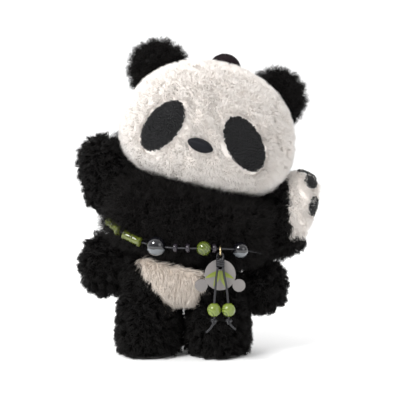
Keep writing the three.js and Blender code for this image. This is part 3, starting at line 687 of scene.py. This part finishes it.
SHORT_STEPS = dict(steps=(0.0, 0.5), fat=(0.9, 0.85))
HEAD_PILE = dict(length=4.8, width=0.30, lean=0.52, comb=(0, -0.1, -0.5), swirl=0.9, stray=0.5,
                 clump=0.32, clump_size=9, curl=0.15, sink=0.4, **SHORT_STEPS)
PALM_PILE = dict(HEAD_PILE, length=4.2, swirl=0.6)
BELLY_PILE = dict(length=7.5, width=0.28, lean=0.74, comb=(0.1, -0.2, -1.3), swirl=0.5, stray=0.3,
                  clump=0.5, clump_size=12, curl=0.15, sink=0.4)
LIMB_PILE = dict(length=6.2, width=0.34, lean=0.48, comb=(0, 0, -0.7), swirl=1.2, stray=0.35,
                 clump=0.8, clump_size=34, curl=0.55, swirl_size=7, sink=0.5)
CHEST_PILE = dict(length=7.6, width=0.25, lean=0.42, comb=(0, 0, -0.3), swirl=0.9, stray=0.9,
                  clump=0.6, clump_size=22, curl=0.65, swirl_size=8, sink=0.5)
EAR_PILE = dict(CHEST_PILE, length=5.0, width=0.22, clump=0.35, clump_size=14, stray=1.0)


def longer(outward, way, gain):
    """Longer pile where the skin faces a way: it closes the gaps to the pieces on that side."""
    facing = outward @ np.array(way, float)
    return 1 + gain * np.clip((facing - 0.3) / 0.5, 0, 1)


# %% [markdown]
# ## Head
# The head is the largest piece: a front and a back panel sewn together over firm filling. The
# cream pile is short and dense. No pile is rooted under the sewn eye patches or the nose, so
# those lie in a hollow and the neighbouring locks lean over their edges.

# %% Head skin and pile
rng = np.random.default_rng(11)
head_nodes = ["head_front_cover", "head_back_cover", "head_stuffing"]
head_skin = skin_from("head_skin", head_nodes, cream_pile, 1.2, 1.8)
wear(head_skin, "head", "cream_fur", *head_nodes)
roots, outward = surface_samples(head_skin, 4.8, rng)
free = np.ones(len(roots), bool)
for node, room in (("left_eye_patch", 2.7), ("right_eye_patch", 2.7), ("nose", 2.0)):
    free &= distance_to(roots, node) > room
head_pile = locks("head_pile", roots[free], outward[free], HEAD_PILE, cream_pile, "head", 12)
print(int(free.sum()), "locks on the head in", len(head_pile), "pieces")

# %% [markdown]
# ## Ears
# The ears are flat round pads of a longer, fuzzier brown-black fur. They stick out from the
# seam between the two head panels. Thin locks with a lot of stray give the fuzzy edge.

# %% Ears
for side in ("left", "right"):
    ear_skin = skin_from(f"{side}_ear_skin", [f"{side}_ear"], brown_pile, 2.0, 1.0)
    wear(ear_skin, "head", "fuzzy_fur", f"{side}_ear")
    roots, outward = surface_samples(ear_skin, 5.0, rng)
    made = locks(f"{side}_ear_pile", roots, outward, EAR_PILE, brown_pile, "head", 21)
    print(side, "ear:", len(roots), "locks,", len(made), "piece")

# %% [markdown]
# ## Eye patches
# The eyes are bean-shaped patches worked in black yarn loops. Each loop is a short arch of
# yarn that stands on the patch, turned a random way, and together they make a pebbled surface
# that catches small lights. The arches stand on a thin pad taken from the CAD patch.

# %% Yarn loops
def yarn_loops(name, points, outward, span, yarn, material, body, seed):
    rng = np.random.default_rng(seed)
    count, marks, sides = len(points), 6, 6
    side = unit(np.cross(outward, rng.normal(size=(count, 3))))
    span = mm(span) * rng.uniform(0.8, 1.25, count)[:, None]
    tip = unit(outward + np.cross(outward, side) * rng.normal(size=(count, 1)) * 0.7)
    rings = []
    for i in range(marks):
        angle = math.pi * i / (marks - 1)
        middle = points + side * span * math.cos(angle) / 2 + tip * span * math.sin(angle) * 0.55
        forward = unit(-side * math.sin(angle) + tip * math.cos(angle) * 1.1)
        up = unit(np.cross(forward, np.cross(side, tip)))
        over = np.cross(forward, up)
        for k in range(sides):
            turn = 2 * math.pi * k / sides
            rings.append(middle + (up * math.cos(turn) + over * math.sin(turn)) * mm(yarn) / 2)
    spikes = np.stack(rings, 1)
    each = marks * sides
    pattern, sizes = list(range(sides))[::-1], [sides]
    for i in range(marks - 1):
        for k in range(sides):
            n = (k + 1) % sides
            pattern += [i * sides + k, i * sides + n, (i + 1) * sides + n, (i + 1) * sides + k]
            sizes.append(4)
    pattern += [(marks - 1) * sides + k for k in range(sides)]
    sizes.append(sides)
    loops = (np.array(pattern)[None, :] + (np.arange(count) * each)[:, None]).ravel()
    obj = mesh_object(name, spikes.reshape(-1, 3), loops, np.tile(sizes, count), material)
    # A loop's feet take the dark root colour and its top the tip colour: painted shade between the loops.
    height = np.tile(np.repeat(np.sin(np.linspace(0, math.pi, marks)), sides), count)
    obj.data.attributes.new("along", "FLOAT", "POINT").data.foreach_set("value", height.astype(np.float32))
    tint = np.repeat(rng.random(count), each)
    obj.data.attributes.new("tint", "FLOAT", "POINT").data.foreach_set("value", tint.astype(np.float32))
    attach(obj, body)
    return obj


# %% Eye patches
for side in ("left", "right"):
    pad = skin_from(f"{side}_eye_pad", [f"{side}_eye_patch"], loop_thread, 0.1, 0.55, 5)
    wear(pad, "head", "embroidery", f"{side}_eye_patch")
    roots, outward = surface_samples(pad, 2.2, rng)
    front = outward[:, 1] < -0.25
    yarn_loops(f"{side}_eye_loops", roots[front], outward[front], 1.25, 0.5, loop_thread,
               "head", 31)
    print(side, "eye:", int(front.sum()), "loops")

# %% [markdown]
# ## Nose
# The nose is a small almond pad covered in satin stitch: threads that lie side by side. Rings
# along its width, pinched at both ends, give the almond, and a fine ripple gives the threads.

# %% Nose
def satin_almond(name, centre, half_width, half_height, depth, tilt, material, rings=90, sides=28):
    points = []
    for i in range(rings):
        u = -1 + 2 * (i + 0.5) / rings
        rise = (1 - abs(u) ** 2.1) ** 0.65
        thread = 1 + 0.035 * math.cos(2 * math.pi * i / 3)
        for k in range(sides):
            turn = 2 * math.pi * k / sides
            x = half_width * u
            y = depth * rise ** 0.6 * math.cos(turn) * thread
            z = half_height * rise * math.sin(turn) * thread
            across = x * math.cos(tilt) + z * math.sin(tilt)
            up = z * math.cos(tilt) - x * math.sin(tilt)
            points.append((across, y, up))
    loops, sizes = list(range(sides)), [sides]
    for i in range(rings - 1):
        for k in range(sides):
            n = (k + 1) % sides
            loops += [i * sides + n, i * sides + k, (i + 1) * sides + k, (i + 1) * sides + n]
            sizes.append(4)
    loops += [(rings - 1) * sides + k for k in range(sides)][::-1]
    sizes.append(sides)
    return mesh_object(name, np.array(points) + np.array(centre), loops, sizes, material)


low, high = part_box("nose")
nose_middle = ((low.x + high.x) / 2, high.y - mm(0.6), (low.z + high.z) / 2)
nose = satin_almond("satin_nose", nose_middle, mm(7.6), mm(3.7), mm(3.6), math.radians(21.7), satin_thread)
wear(nose, "head", "satin", "nose")
print("nose middle in mm:", [round(1000 * v, 1) for v in nose_middle])

# %% [markdown]
# ## Crown bobble
# A ball of plum felt sits behind the top of the head. Felt is matted wool, so it is almost
# smooth, with a very short fuzz that softens its outline.

# %% Crown bobble
bobble = skin_from("felt_bobble", ["crown_bobble"], plum_felt, 0.3, 0.9, 8)
wear(bobble, "head", "felt", "crown_bobble")
roots, outward = surface_samples(bobble, 7.0, rng)
FELT_FUZZ = dict(length=1.0, width=0.14, lean=0.6, swirl=1.0, stray=1.0, clump=0.0, curl=0.4, sink=0.1)
locks("bobble_fuzz", roots, outward, FELT_FUZZ, plum_felt, "head", 41)
print("bobble fuzz:", len(roots))

# %% [markdown]
# ## Chest
# The chest is one wide roll of fuzzy fur under the head, leaning with it. Its pile fills the
# gaps to the head and to the arms.

# %% Chest
chest_skin = skin_from("chest_skin", ["chest_cover", "chest_stuffing"], brown_pile, 0.6, 1.8)
wear(chest_skin, "chest", "fuzzy_fur", "chest_cover", "chest_stuffing")
roots, outward = surface_samples(chest_skin, 3.2, rng)
reach = (longer(outward, (-1, 0, 0), 0.8) * longer(outward, (1, 0, 0), 0.7)
         * longer(outward, (0, -0.3, 0.9), 0.4))
locks("chest_pile", roots, outward, CHEST_PILE, brown_pile, "chest", 51, reach)
print(len(roots), "locks on the chest")

# %% [markdown]
# ## Arms
# All four arms are stuffed tubes on disc joints. The raised pair have a white palm that faces
# away to the side or back, with a main pad and toe pads of black yarn loops. No pile is rooted
# under the pads. The hanging pair are black all round. Pile that faces the head and the chest
# is longer, so that no gap shows between the pieces.

# %% Raised and hanging arms
def two_colour(obj, second, second_is_near):
    """A second material on the faces that belong to the second cover."""
    obj.data.materials.append(second)
    obj.data.polygons.foreach_set("material_index", second_is_near(face_middles(obj)).astype(np.int32))


# Each pad: height, turn round the arm from its outer side in degrees (back is positive), half sizes.
TOE_PADS = {"right": [(100, -40, 3.4, 2.9), (87, -28, 3.2, 5.2), (104, 0, 2.8, 2.9), (100, 38, 2.8, 3.0),
                      (84, 22, 5.2, 4.6)],
            "left": [(101, 12, 2.8, 3.0), (105, 48, 2.8, 3.0), (101, 84, 2.8, 3.0), (89, 52, 5.2, 4.6)]}


def pads_on(skin, side):
    """The middle of each pad on the skin, found by looking at the arm from outside."""
    tree = BVHTree.FromPolygons([v.co for v in skin.data.vertices],
                                [tuple(p.vertices) for p in skin.data.polygons])
    corners = np.array([v.co for v in skin.data.vertices])
    middle = (corners.min(0) + corners.max(0)) / 2
    sign = 1 if side == "right" else -1
    found = []
    for level, turn, half_wide, half_high in TOE_PADS[side]:
        turn = math.radians(turn)
        way = np.array((sign * math.cos(turn), math.sin(turn), 0))
        near = corners[abs(corners[:, 2] - mm(level)) < mm(3)]
        axis = (near.min(0) + near.max(0)) / 2 if len(near) else middle
        start = Vector((axis[0], axis[1], mm(level))) + Vector(way) * mm(60)
        hit = tree.ray_cast(start, -Vector(way))[0]
        if hit is not None:
            found.append((np.array(hit), way, mm(half_wide), mm(half_high)))
    return found


def in_pads(points, pads):
    inside = np.zeros(len(points), bool)
    for middle, way, half_wide, half_high in pads:
        step = points - middle
        along_skin = step @ np.array((-way[1], way[0], 0))
        in_oval = (along_skin / half_wide) ** 2 + (step[:, 2] / half_high) ** 2 < 1
        inside |= in_oval & (step @ way > -mm(5))
    return inside


PALM_SPREAD = {"left": -2.0, "right": 3.0}
PALM_LOW = {"left": 70, "right": 69}
PALM_IN = {"left": 40, "right": 51.5}
PALM_BACK = {"left": 4, "right": -60}
for side in ("left", "right"):
    arm = f"{side}_raised_arm"
    arm_nodes = [f"{arm}_cover", f"{arm}_palm", f"{arm}_stuffing"]
    skin = skin_from(f"{arm}_skin", arm_nodes, black_pile, 0.9, 1.2)

    def on_palm(points, arm=arm):
        edge = distance_to(points, f"{arm}_cover") + PALM_SPREAD[side]
        near_palm = distance_to(points, f"{arm}_palm") < edge
        outside = abs(points[:, 0]) > mm(PALM_IN[side])
        high = points[:, 2] > mm(PALM_LOW[side])
        return near_palm & outside & high & (points[:, 1] > mm(PALM_BACK[side]))

    two_colour(skin, cream_pile, on_palm)
    pads = pads_on(skin, side)
    under_pads = in_pads(face_middles(skin), pads)
    skin.data.materials.append(loop_thread)
    kinds = np.empty(len(skin.data.polygons), np.int32)
    skin.data.polygons.foreach_get("material_index", kinds)
    kinds[under_pads] = 2
    skin.data.polygons.foreach_set("material_index", kinds)
    wear(skin, arm, "black_fur", *arm_nodes)
    roots, outward = surface_samples(skin, 3.0, rng)
    sewn = in_pads(roots, pads)
    raised = roots[sewn] + outward[sewn] * mm(1.6)
    yarn_loops(f"{side}_toe_pads", raised, outward[sewn], 1.3, 0.6, loop_thread, arm, 64)
    roots, outward = surface_samples(skin, 3.6, rng)
    bare = in_pads(roots, pads)
    roots, outward = roots[~bare], outward[~bare]
    white = on_palm(roots)
    inward = (1, 0, -0.3) if side == "left" else (-1, 0, -0.3)
    reach = longer(outward[~white], inward, 0.9)
    locks(f"{arm}_pile", roots[~white], outward[~white], LIMB_PILE, black_pile, arm, 61, reach)
    locks(f"{side}_palm_pile", roots[white], outward[white], PALM_PILE, cream_pile, arm, 62)
    arm = f"{side}_lower_arm"
    skin = skin_from(f"{arm}_skin", [f"{arm}_cover", f"{arm}_stuffing"], black_pile, 0.9, 1.2)
    wear(skin, arm, "black_fur", f"{arm}_cover", f"{arm}_stuffing")
    roots, outward = surface_samples(skin, 3.4, rng)
    locks(f"{arm}_pile", roots, outward, LIMB_PILE, black_pile, arm, 63)
print("arms done")

# %% [markdown]
# ## Torso, legs and belly
# The torso and both legs are sewn into one body, so one skin covers them, and the cream belly
# panel comes to a point between the legs. Its pile is the longest and hangs straight down.

# %% Torso, legs and belly
body_nodes = ["torso_cover", "belly_panel", "body_stuffing", "left_leg_cover", "right_leg_cover"]
body_skin = skin_from("body_skin", body_nodes, black_pile, 1.4, 1.3)


def on_belly(points):
    return (distance_to(points, "belly_panel") < 2.7) & (points[:, 1] < mm(-6))


two_colour(body_skin, shaded_belly_cream, on_belly)
wear(body_skin, "lower_body", "black_fur", *body_nodes)
roots, outward = surface_samples(body_skin, 3.4, rng)
belly = on_belly(roots)
upright = (roots[:, 2] > mm(2.5)) | (outward[:, 2] > -0.5)
dark = ~belly & upright
high_up = np.clip((roots[dark][:, 2] - mm(30)) / mm(8), 0, 1)
reach = longer(outward[dark], (-1, 0, 0), 0.6) * longer(outward[dark], (1, 0, 0), 0.6)
reach = 1 + (reach - 1) * high_up
locks("body_pile", roots[dark], outward[dark], LIMB_PILE, black_pile, "lower_body",
      71, reach)
locks("belly_pile", roots[belly], outward[belly], BELLY_PILE, shaded_belly_cream, "lower_body", 72)
print(int(dark.sum()), "black locks and", int(belly.sum()), "belly locks")

# %% [markdown]
# ## Soles
# Each foot ends in a flat sole of short cloth, sewn on all round.

# %% Soles
for side in ("left", "right"):
    sole = skin_from(f"{side}_sole_pad", [f"{side}_sole"], sole_cloth, 0.0, 0.7, 3)
    wear(sole, "lower_body", "black_fur", f"{side}_sole")
print("soles done")

# %% [markdown]
# ## The bead string
# A thin black string runs round the chest, sunk in the fur at the back and carrying glass
# beads at the front. Its line is the same formula that the CAD string follows: an oval that
# hugs the chest, dips at the front and leans with the upper body.

# %% String line
LEAN = math.radians(13.7)
FIGURE_AT = np.array((-9.722, 1.927, 0.0))


CHEST_HALF_WIDE = 45
CHEST_HALF_DEEP = 32
CHEST_LOW = 21.5  # from the chest's widest level to its underside
CHEST_SQUARE = 2.5
CHEST_SHIFT = 1
CHEST_LEVEL = -1
STRING_LEVEL = -7.5
STRING_SLOPE = 0.25
STRING_SAG = 4
STRING_OFF_SIDE = 1.5
STRING_OFF_FRONT = 5.2
PIVOT = (2, 77)  # where the leaning axis starts, across and up


def string_point(place):
    """The string's line, at a distance in mm round the chest from the front middle."""
    angle = place / CHEST_HALF_WIDE
    facing = max(0.0, math.cos(angle))
    height = STRING_LEVEL + (STRING_SLOPE * CHEST_HALF_WIDE * math.sin(angle) - STRING_SAG) * facing ** 2
    drop = min(0.98, abs(height - CHEST_LEVEL) / CHEST_LOW)
    share = (1 - drop ** CHEST_SQUARE) ** (1 / CHEST_SQUARE)
    off = STRING_OFF_SIDE + STRING_OFF_FRONT * facing ** 0.7
    x = CHEST_SHIFT + (CHEST_HALF_WIDE * share + off) * math.sin(angle)
    y = -(CHEST_HALF_DEEP * share + off) * math.cos(angle)
    leaned = (x * math.cos(LEAN) + height * math.sin(LEAN) + PIVOT[0], y,
              height * math.cos(LEAN) - x * math.sin(LEAN) + PIVOT[1])
    return mm(FIGURE_AT + np.array(leaned))


once_round = 2 * math.pi * CHEST_HALF_WIDE
string_line = spline([string_point(once_round * i / 30) for i in range(30)], 220, closed=True)
string = sweep("waist_string", string_line, mm(0.5), black_cord, 10, closed=True, twist=0.5, ridge=0.1)
wear(string, "chest", "cord", "waist_cord")
print("string is", round(1000 * np.linalg.norm(np.diff(string_line, axis=0), axis=1).sum()), "mm round")


# %% [markdown]
# ## Beads
# A bead is turned glass, so it is a row of rings along its hole: their distances and radii make
# the outline. The bamboo beads swell at both ends and at a joint in the middle.

# %% Turned beads
def turned(name, centre, along, profile, material, sides=40):
    along = np.asarray(along, float)
    along /= np.linalg.norm(along)
    path = [np.asarray(centre) + along * mm(step) for step, _ in profile]
    return sweep(name, path, [mm(radius) for _, radius in profile], material, sides)


def round_profile(size, hole, steps=24):
    reach = math.acos(hole / (size / 2))
    angles = np.linspace(-reach, reach, steps)
    return [(size / 2 * math.sin(a), size / 2 * math.cos(a)) for a in angles]


def bamboo_profile(length, thick, steps=34):
    found = []
    for t in np.linspace(-1, 1, steps):
        swell = 0.8 + 0.2 * max(math.exp(-((abs(t) - 0.86) / 0.13) ** 2), math.exp(-(t / 0.07) ** 2) * 0.55)
        end = (1 - max(0.0, (abs(t) - 0.88) / 0.12) ** 2 * 0.5)
        found.append((t * length / 2, thick / 2 * swell * end))
    return found


SPACER_PROFILE = [(-1.1, 1.9), (-0.7, 2.3), (0, 2.5), (0.7, 2.3), (1.1, 1.9)]
# Each bead: its node, its place on the string, its outline, its glass and its finish slot.
STRUNG = [("bamboo_bead_outer", -47.9, bamboo_profile(12.6, 6), olive_glass, "olive_glass"),
          ("bamboo_bead_inner", -31.4, bamboo_profile(12.6, 6), olive_glass, "olive_glass"),
          ("left_ball_bead", -14.9, round_profile(11, 1), ball_glaze_painted_reflection, "ball_glass"),
          ("green_bead", 10.2, round_profile(8, 1), green_glass, "green_glass"),
          ("right_ball_bead", 30.6, round_profile(9, 1), ball_glaze_painted_reflection, "ball_glass")]
for i, place in enumerate((-3.9, 2.4, 15.3)):
    STRUNG.append((f"spacer_bead_{i + 1}", place, SPACER_PROFILE, spacer_glass, "spacer_glass"))
for node, place, profile, material, slot in STRUNG:
    along = string_point(place + 1) - string_point(place - 1)
    bead = turned(f"turned_{node}", string_point(place), along, profile, material)
    wear(bead, "chest", slot, node)
print(len(STRUNG), "beads on the string")

# %% [markdown]
# ## Ring, loop and hitch
# A gold jump ring hangs on the string. A closed loop of cord goes through it and through the
# hole in the charm plate, and a tight wrapped hitch holds the loop in front of the plate.

# %% Jump ring
low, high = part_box("jump_ring")
ring_middle = np.array((low + high) / 2)
turns = np.linspace(0, 2 * math.pi, 48, endpoint=False)
ring_line = [ring_middle + mm(2.55) * np.array((0, math.cos(a), math.sin(a))) for a in turns]
ring = sweep("gold_jump_ring", ring_line, mm(0.45), pale_gold, 16, closed=True)
wear(ring, "jump_ring", "gold", "jump_ring")
print("ring middle in mm:", (1000 * ring_middle).round(1))

# %% Cord loop and hitch
low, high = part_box("charm_cord_loop")
loop_high = high.z - CORD_RADIUS
hole = np.array([mm(v) for v in HOLE_AT])
loop_line = []
for a in np.linspace(0, 2 * math.pi, 64, endpoint=False):
    rise, wide = (math.cos(a) + 1) / 2, mm(2.6) * math.sin(a)
    loop_line.append((hole[0] + wide * rise, hole[1] - wide * (1 - rise),
                      hole[2] + (loop_high - hole[2]) * rise))
loop = sweep("charm_loop", loop_line, CORD_RADIUS, black_cord, 12, closed=True, twist=0.6, ridge=0.08)
wear(loop, "charm", "cord", "charm_cord_loop")
hitch_line = []
for t in np.linspace(0, 1, 110):
    a = 2 * math.pi * 3.6 * t
    middle = np.array(HOLE_AT) + np.array((0.0, 1.6 * t - 2.9, 4.1 * t - 0.3))
    turn = np.array((1.75 * math.cos(a), 1.4 * math.sin(a), 0.3 * math.sin(2 * a)))
    hitch_line.append((middle + turn) * 0.001)
hitch = sweep("charm_hitch", hitch_line, mm(0.62), black_cord, 12, twist=0.5, ridge=0.08)
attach(hitch, "charm")
print("hitch is", round(1000 * np.linalg.norm(np.diff(hitch_line, axis=0), axis=1).sum()), "mm of cord")

# %% [markdown]
# ## Charm plate and leaves
# The plate is three discs of frosted acrylic in one piece: a face and two ears. Bamboo leaves
# are printed on it in yellow-green, each with a black outline that shows past its edge.

# %% Plate and leaves
def repaint(node, material):
    """A CAD node whose shape is right keeps it, and gets a finish through its slots."""
    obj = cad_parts[node]
    obj.data.materials.clear()
    obj.data.materials.append(material)


repaint("charm_plate", frosted_acrylic)


def leaf_blades(name, grow, front, thick, material, vein=0.0):
    points, loops, sizes = [], [], []
    top = (HOLE_AT[0], 0, HOLE_AT[2] - 4.6 / 2 - 1.2)
    for degrees, length, width in ((-68, 9, 2.6), (-24, 9, 2.6), (22, 10, 3), (64, 8.5, 2.4)):
        turn = math.radians(degrees)
        steps = 18
        rows = []
        for i in range(steps + 1):
            t = i / steps
            down = -1 - grow + (length + 1 + 2 * grow) * t
            half = (width / 2 + grow) * math.sin(math.pi * t ** 0.8) ** 0.8 if 0 < t < 1 else 0.02
            rows.append((down, half))
        for depth in (0.0, thick):
            for down, half in rows:
                for across_at in (-half, 0.0, half):
                    x = across_at * math.cos(turn) + down * math.sin(turn)
                    z = across_at * math.sin(turn) - down * math.cos(turn)
                    ridge_up = vein * (1 if across_at == 0 and depth == 0 else 0)
                    points.append((top[0] + x, front + depth - ridge_up, top[2] + z))
        base = len(points) - 2 * 3 * (steps + 1)
        back = base + 3 * (steps + 1)
        for i in range(steps):
            for k in range(2):
                a = base + 3 * i + k
                loops += [a, a + 3, a + 4, a + 1]
                b = back + 3 * i + k
                loops += [b, b + 1, b + 4, b + 3]
                sizes += [4, 4]
            a, b = base + 3 * i, back + 3 * i
            loops += [a, b, b + 3, a + 3]
            a, b = a + 2, b + 2
            loops += [a, a + 3, b + 3, b]
            sizes += [4, 4]
        first, last = base, base + 3 * steps
        for k in range(2):
            loops += [first + k, first + k + 1, back + k + 1, back + k]
            loops += [last + k, back + 3 * steps + k, back + 3 * steps + k + 1, last + k + 1]
            sizes += [4, 4]
    return mesh_object(name, np.array(points) * 0.001, loops, sizes, material, smooth=False)


outline = leaf_blades("leaf_outlines", 0.42, HOLE_AT[1] - 0.55, 0.22, ink)
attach(outline, "charm")
blades = leaf_blades("bamboo_leaves", 0.0, HOLE_AT[1] - 1.03, 0.45, leaf_print, 0.12)
wear(blades, "charm", "leaf", "leaf_spray")
print("plate and leaves done")

# %% [markdown]
# ## Tassels
# Each tassel cord carries a striped glass bead that rests on a knot. The knot is tied in the
# cord itself: a small closed three-lobed line, as thick as the cord, shows how it is tied.

# %% Tassel beads and knots
for side, (cord, line) in tassel_lines.items():
    bead_at = np.array(HOLE_AT) + np.array(TASSEL_ROUTES[side][3])
    knot_at = np.array(HOLE_AT) + np.array(TASSEL_ROUTES[side][4])
    bead = turned(f"{side}_striped_bead", mm(bead_at), bead_at - knot_at, round_profile(7.7, 1.2, 30),
                  striped_glass, 48)
    wear(bead, f"{side}_tassel", "green_glass", f"{side}_glass_bead")
    knot_line = []
    for a in np.linspace(0, 2 * math.pi, 90, endpoint=False):
        shape = np.array((math.sin(a) + 2 * math.sin(2 * a), -1.3 * math.sin(3 * a),
                          math.cos(a) - 2 * math.cos(2 * a)))
        knot_line.append(mm(knot_at + 0.46 * shape))
    knot = sweep(f"{side}_tied_knot", knot_line, CORD_RADIUS, black_cord, 10, closed=True, twist=0.5,
                 ridge=0.08)
    wear(knot, f"{side}_tassel", "cord", f"{side}_tassel_knot")
    wear(cord, f"{side}_tassel", "cord", f"{side}_tassel_cord")

# %% [markdown]
# ## Joint hardware
# The disc joints are hidden in the filling. They stay as the CAD made them, in moulded nylon.

# %% Joint hardware
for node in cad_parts:
    if node.endswith("_stud") or node.endswith("_lock_washer"):
        repaint(node, moulded_nylon)
print("hardware painted")

# %% [markdown]
# ## Floor and light
# The toy stands on a plain pale floor. A wide soft lamp at the upper left makes the soft light
# of a studio, and a weaker one fills from the right. The surroundings are bright behind and
# above the toy and dim in front of it, as in a room where only the backdrop is lit.

# %% Floor
floor_paint, tree, shader = finish("pale_floor", (0.96, 0.96, 0.96), 0.9)
FLOOR_HALF = 6.0
corners = [(-FLOOR_HALF, -FLOOR_HALF, 0), (FLOOR_HALF, -FLOOR_HALF, 0), (FLOOR_HALF, FLOOR_HALF, 0),
           (-FLOOR_HALF, FLOOR_HALF, 0)]
floor = mesh_object("floor", corners, [0, 1, 2, 3], [4], floor_paint, smooth=False)

# %% Lights
def soft_lamp(name, place_at, size, power):
    data = bpy.data.lights.new(name, "AREA")
    data.shape = "DISK"
    data.size = size
    data.energy = power
    lamp = bpy.data.objects.new(name, data)
    scene.collection.objects.link(lamp)
    lamp.location = place_at
    lamp.rotation_euler = (target - Vector(place_at)).to_track_quat("-Z", "Y").to_euler()
    return lamp


soft_lamp("key_lamp", (-0.8, -0.9, 1.1), 0.6, 24)
soft_lamp("fill_lamp", (0.9, -0.9, 0.5), 0.8, 3)
world = bpy.data.worlds.new("studio")
scene.world = world
world.use_nodes = True
tree = world.node_tree
way = tree.nodes.new("ShaderNodeSeparateXYZ")
tree.links.new(tree.nodes.new("ShaderNodeTexCoord").outputs["Generated"], way.inputs[0])
behind = tree.nodes.new("ShaderNodeMapRange")
behind.inputs["From Min"].default_value = -0.4
behind.inputs["From Max"].default_value = 0.5
behind.inputs["To Min"].default_value = 0.25
behind.inputs["To Max"].default_value = 1.1
tree.links.new(way.outputs["Y"], behind.inputs["Value"])
above = math_node(tree, "MULTIPLY", math_node(tree, "MAXIMUM", way.outputs["Z"], 0.0), 0.62)
side_light = math_node(tree, "MULTIPLY", math_node(tree, "MAXIMUM", math_node(
    tree, "MULTIPLY", way.outputs["X"], -1.0), 0.0), 0.25)
glow = math_node(tree, "ADD", behind.outputs[0], math_node(tree, "ADD", above, side_light))
tree.links.new(glow, tree.nodes["Background"].inputs["Strength"])
tree.nodes["Background"].inputs["Color"].default_value = (1, 1, 1, 1)
scene.view_settings.view_transform = "Standard"
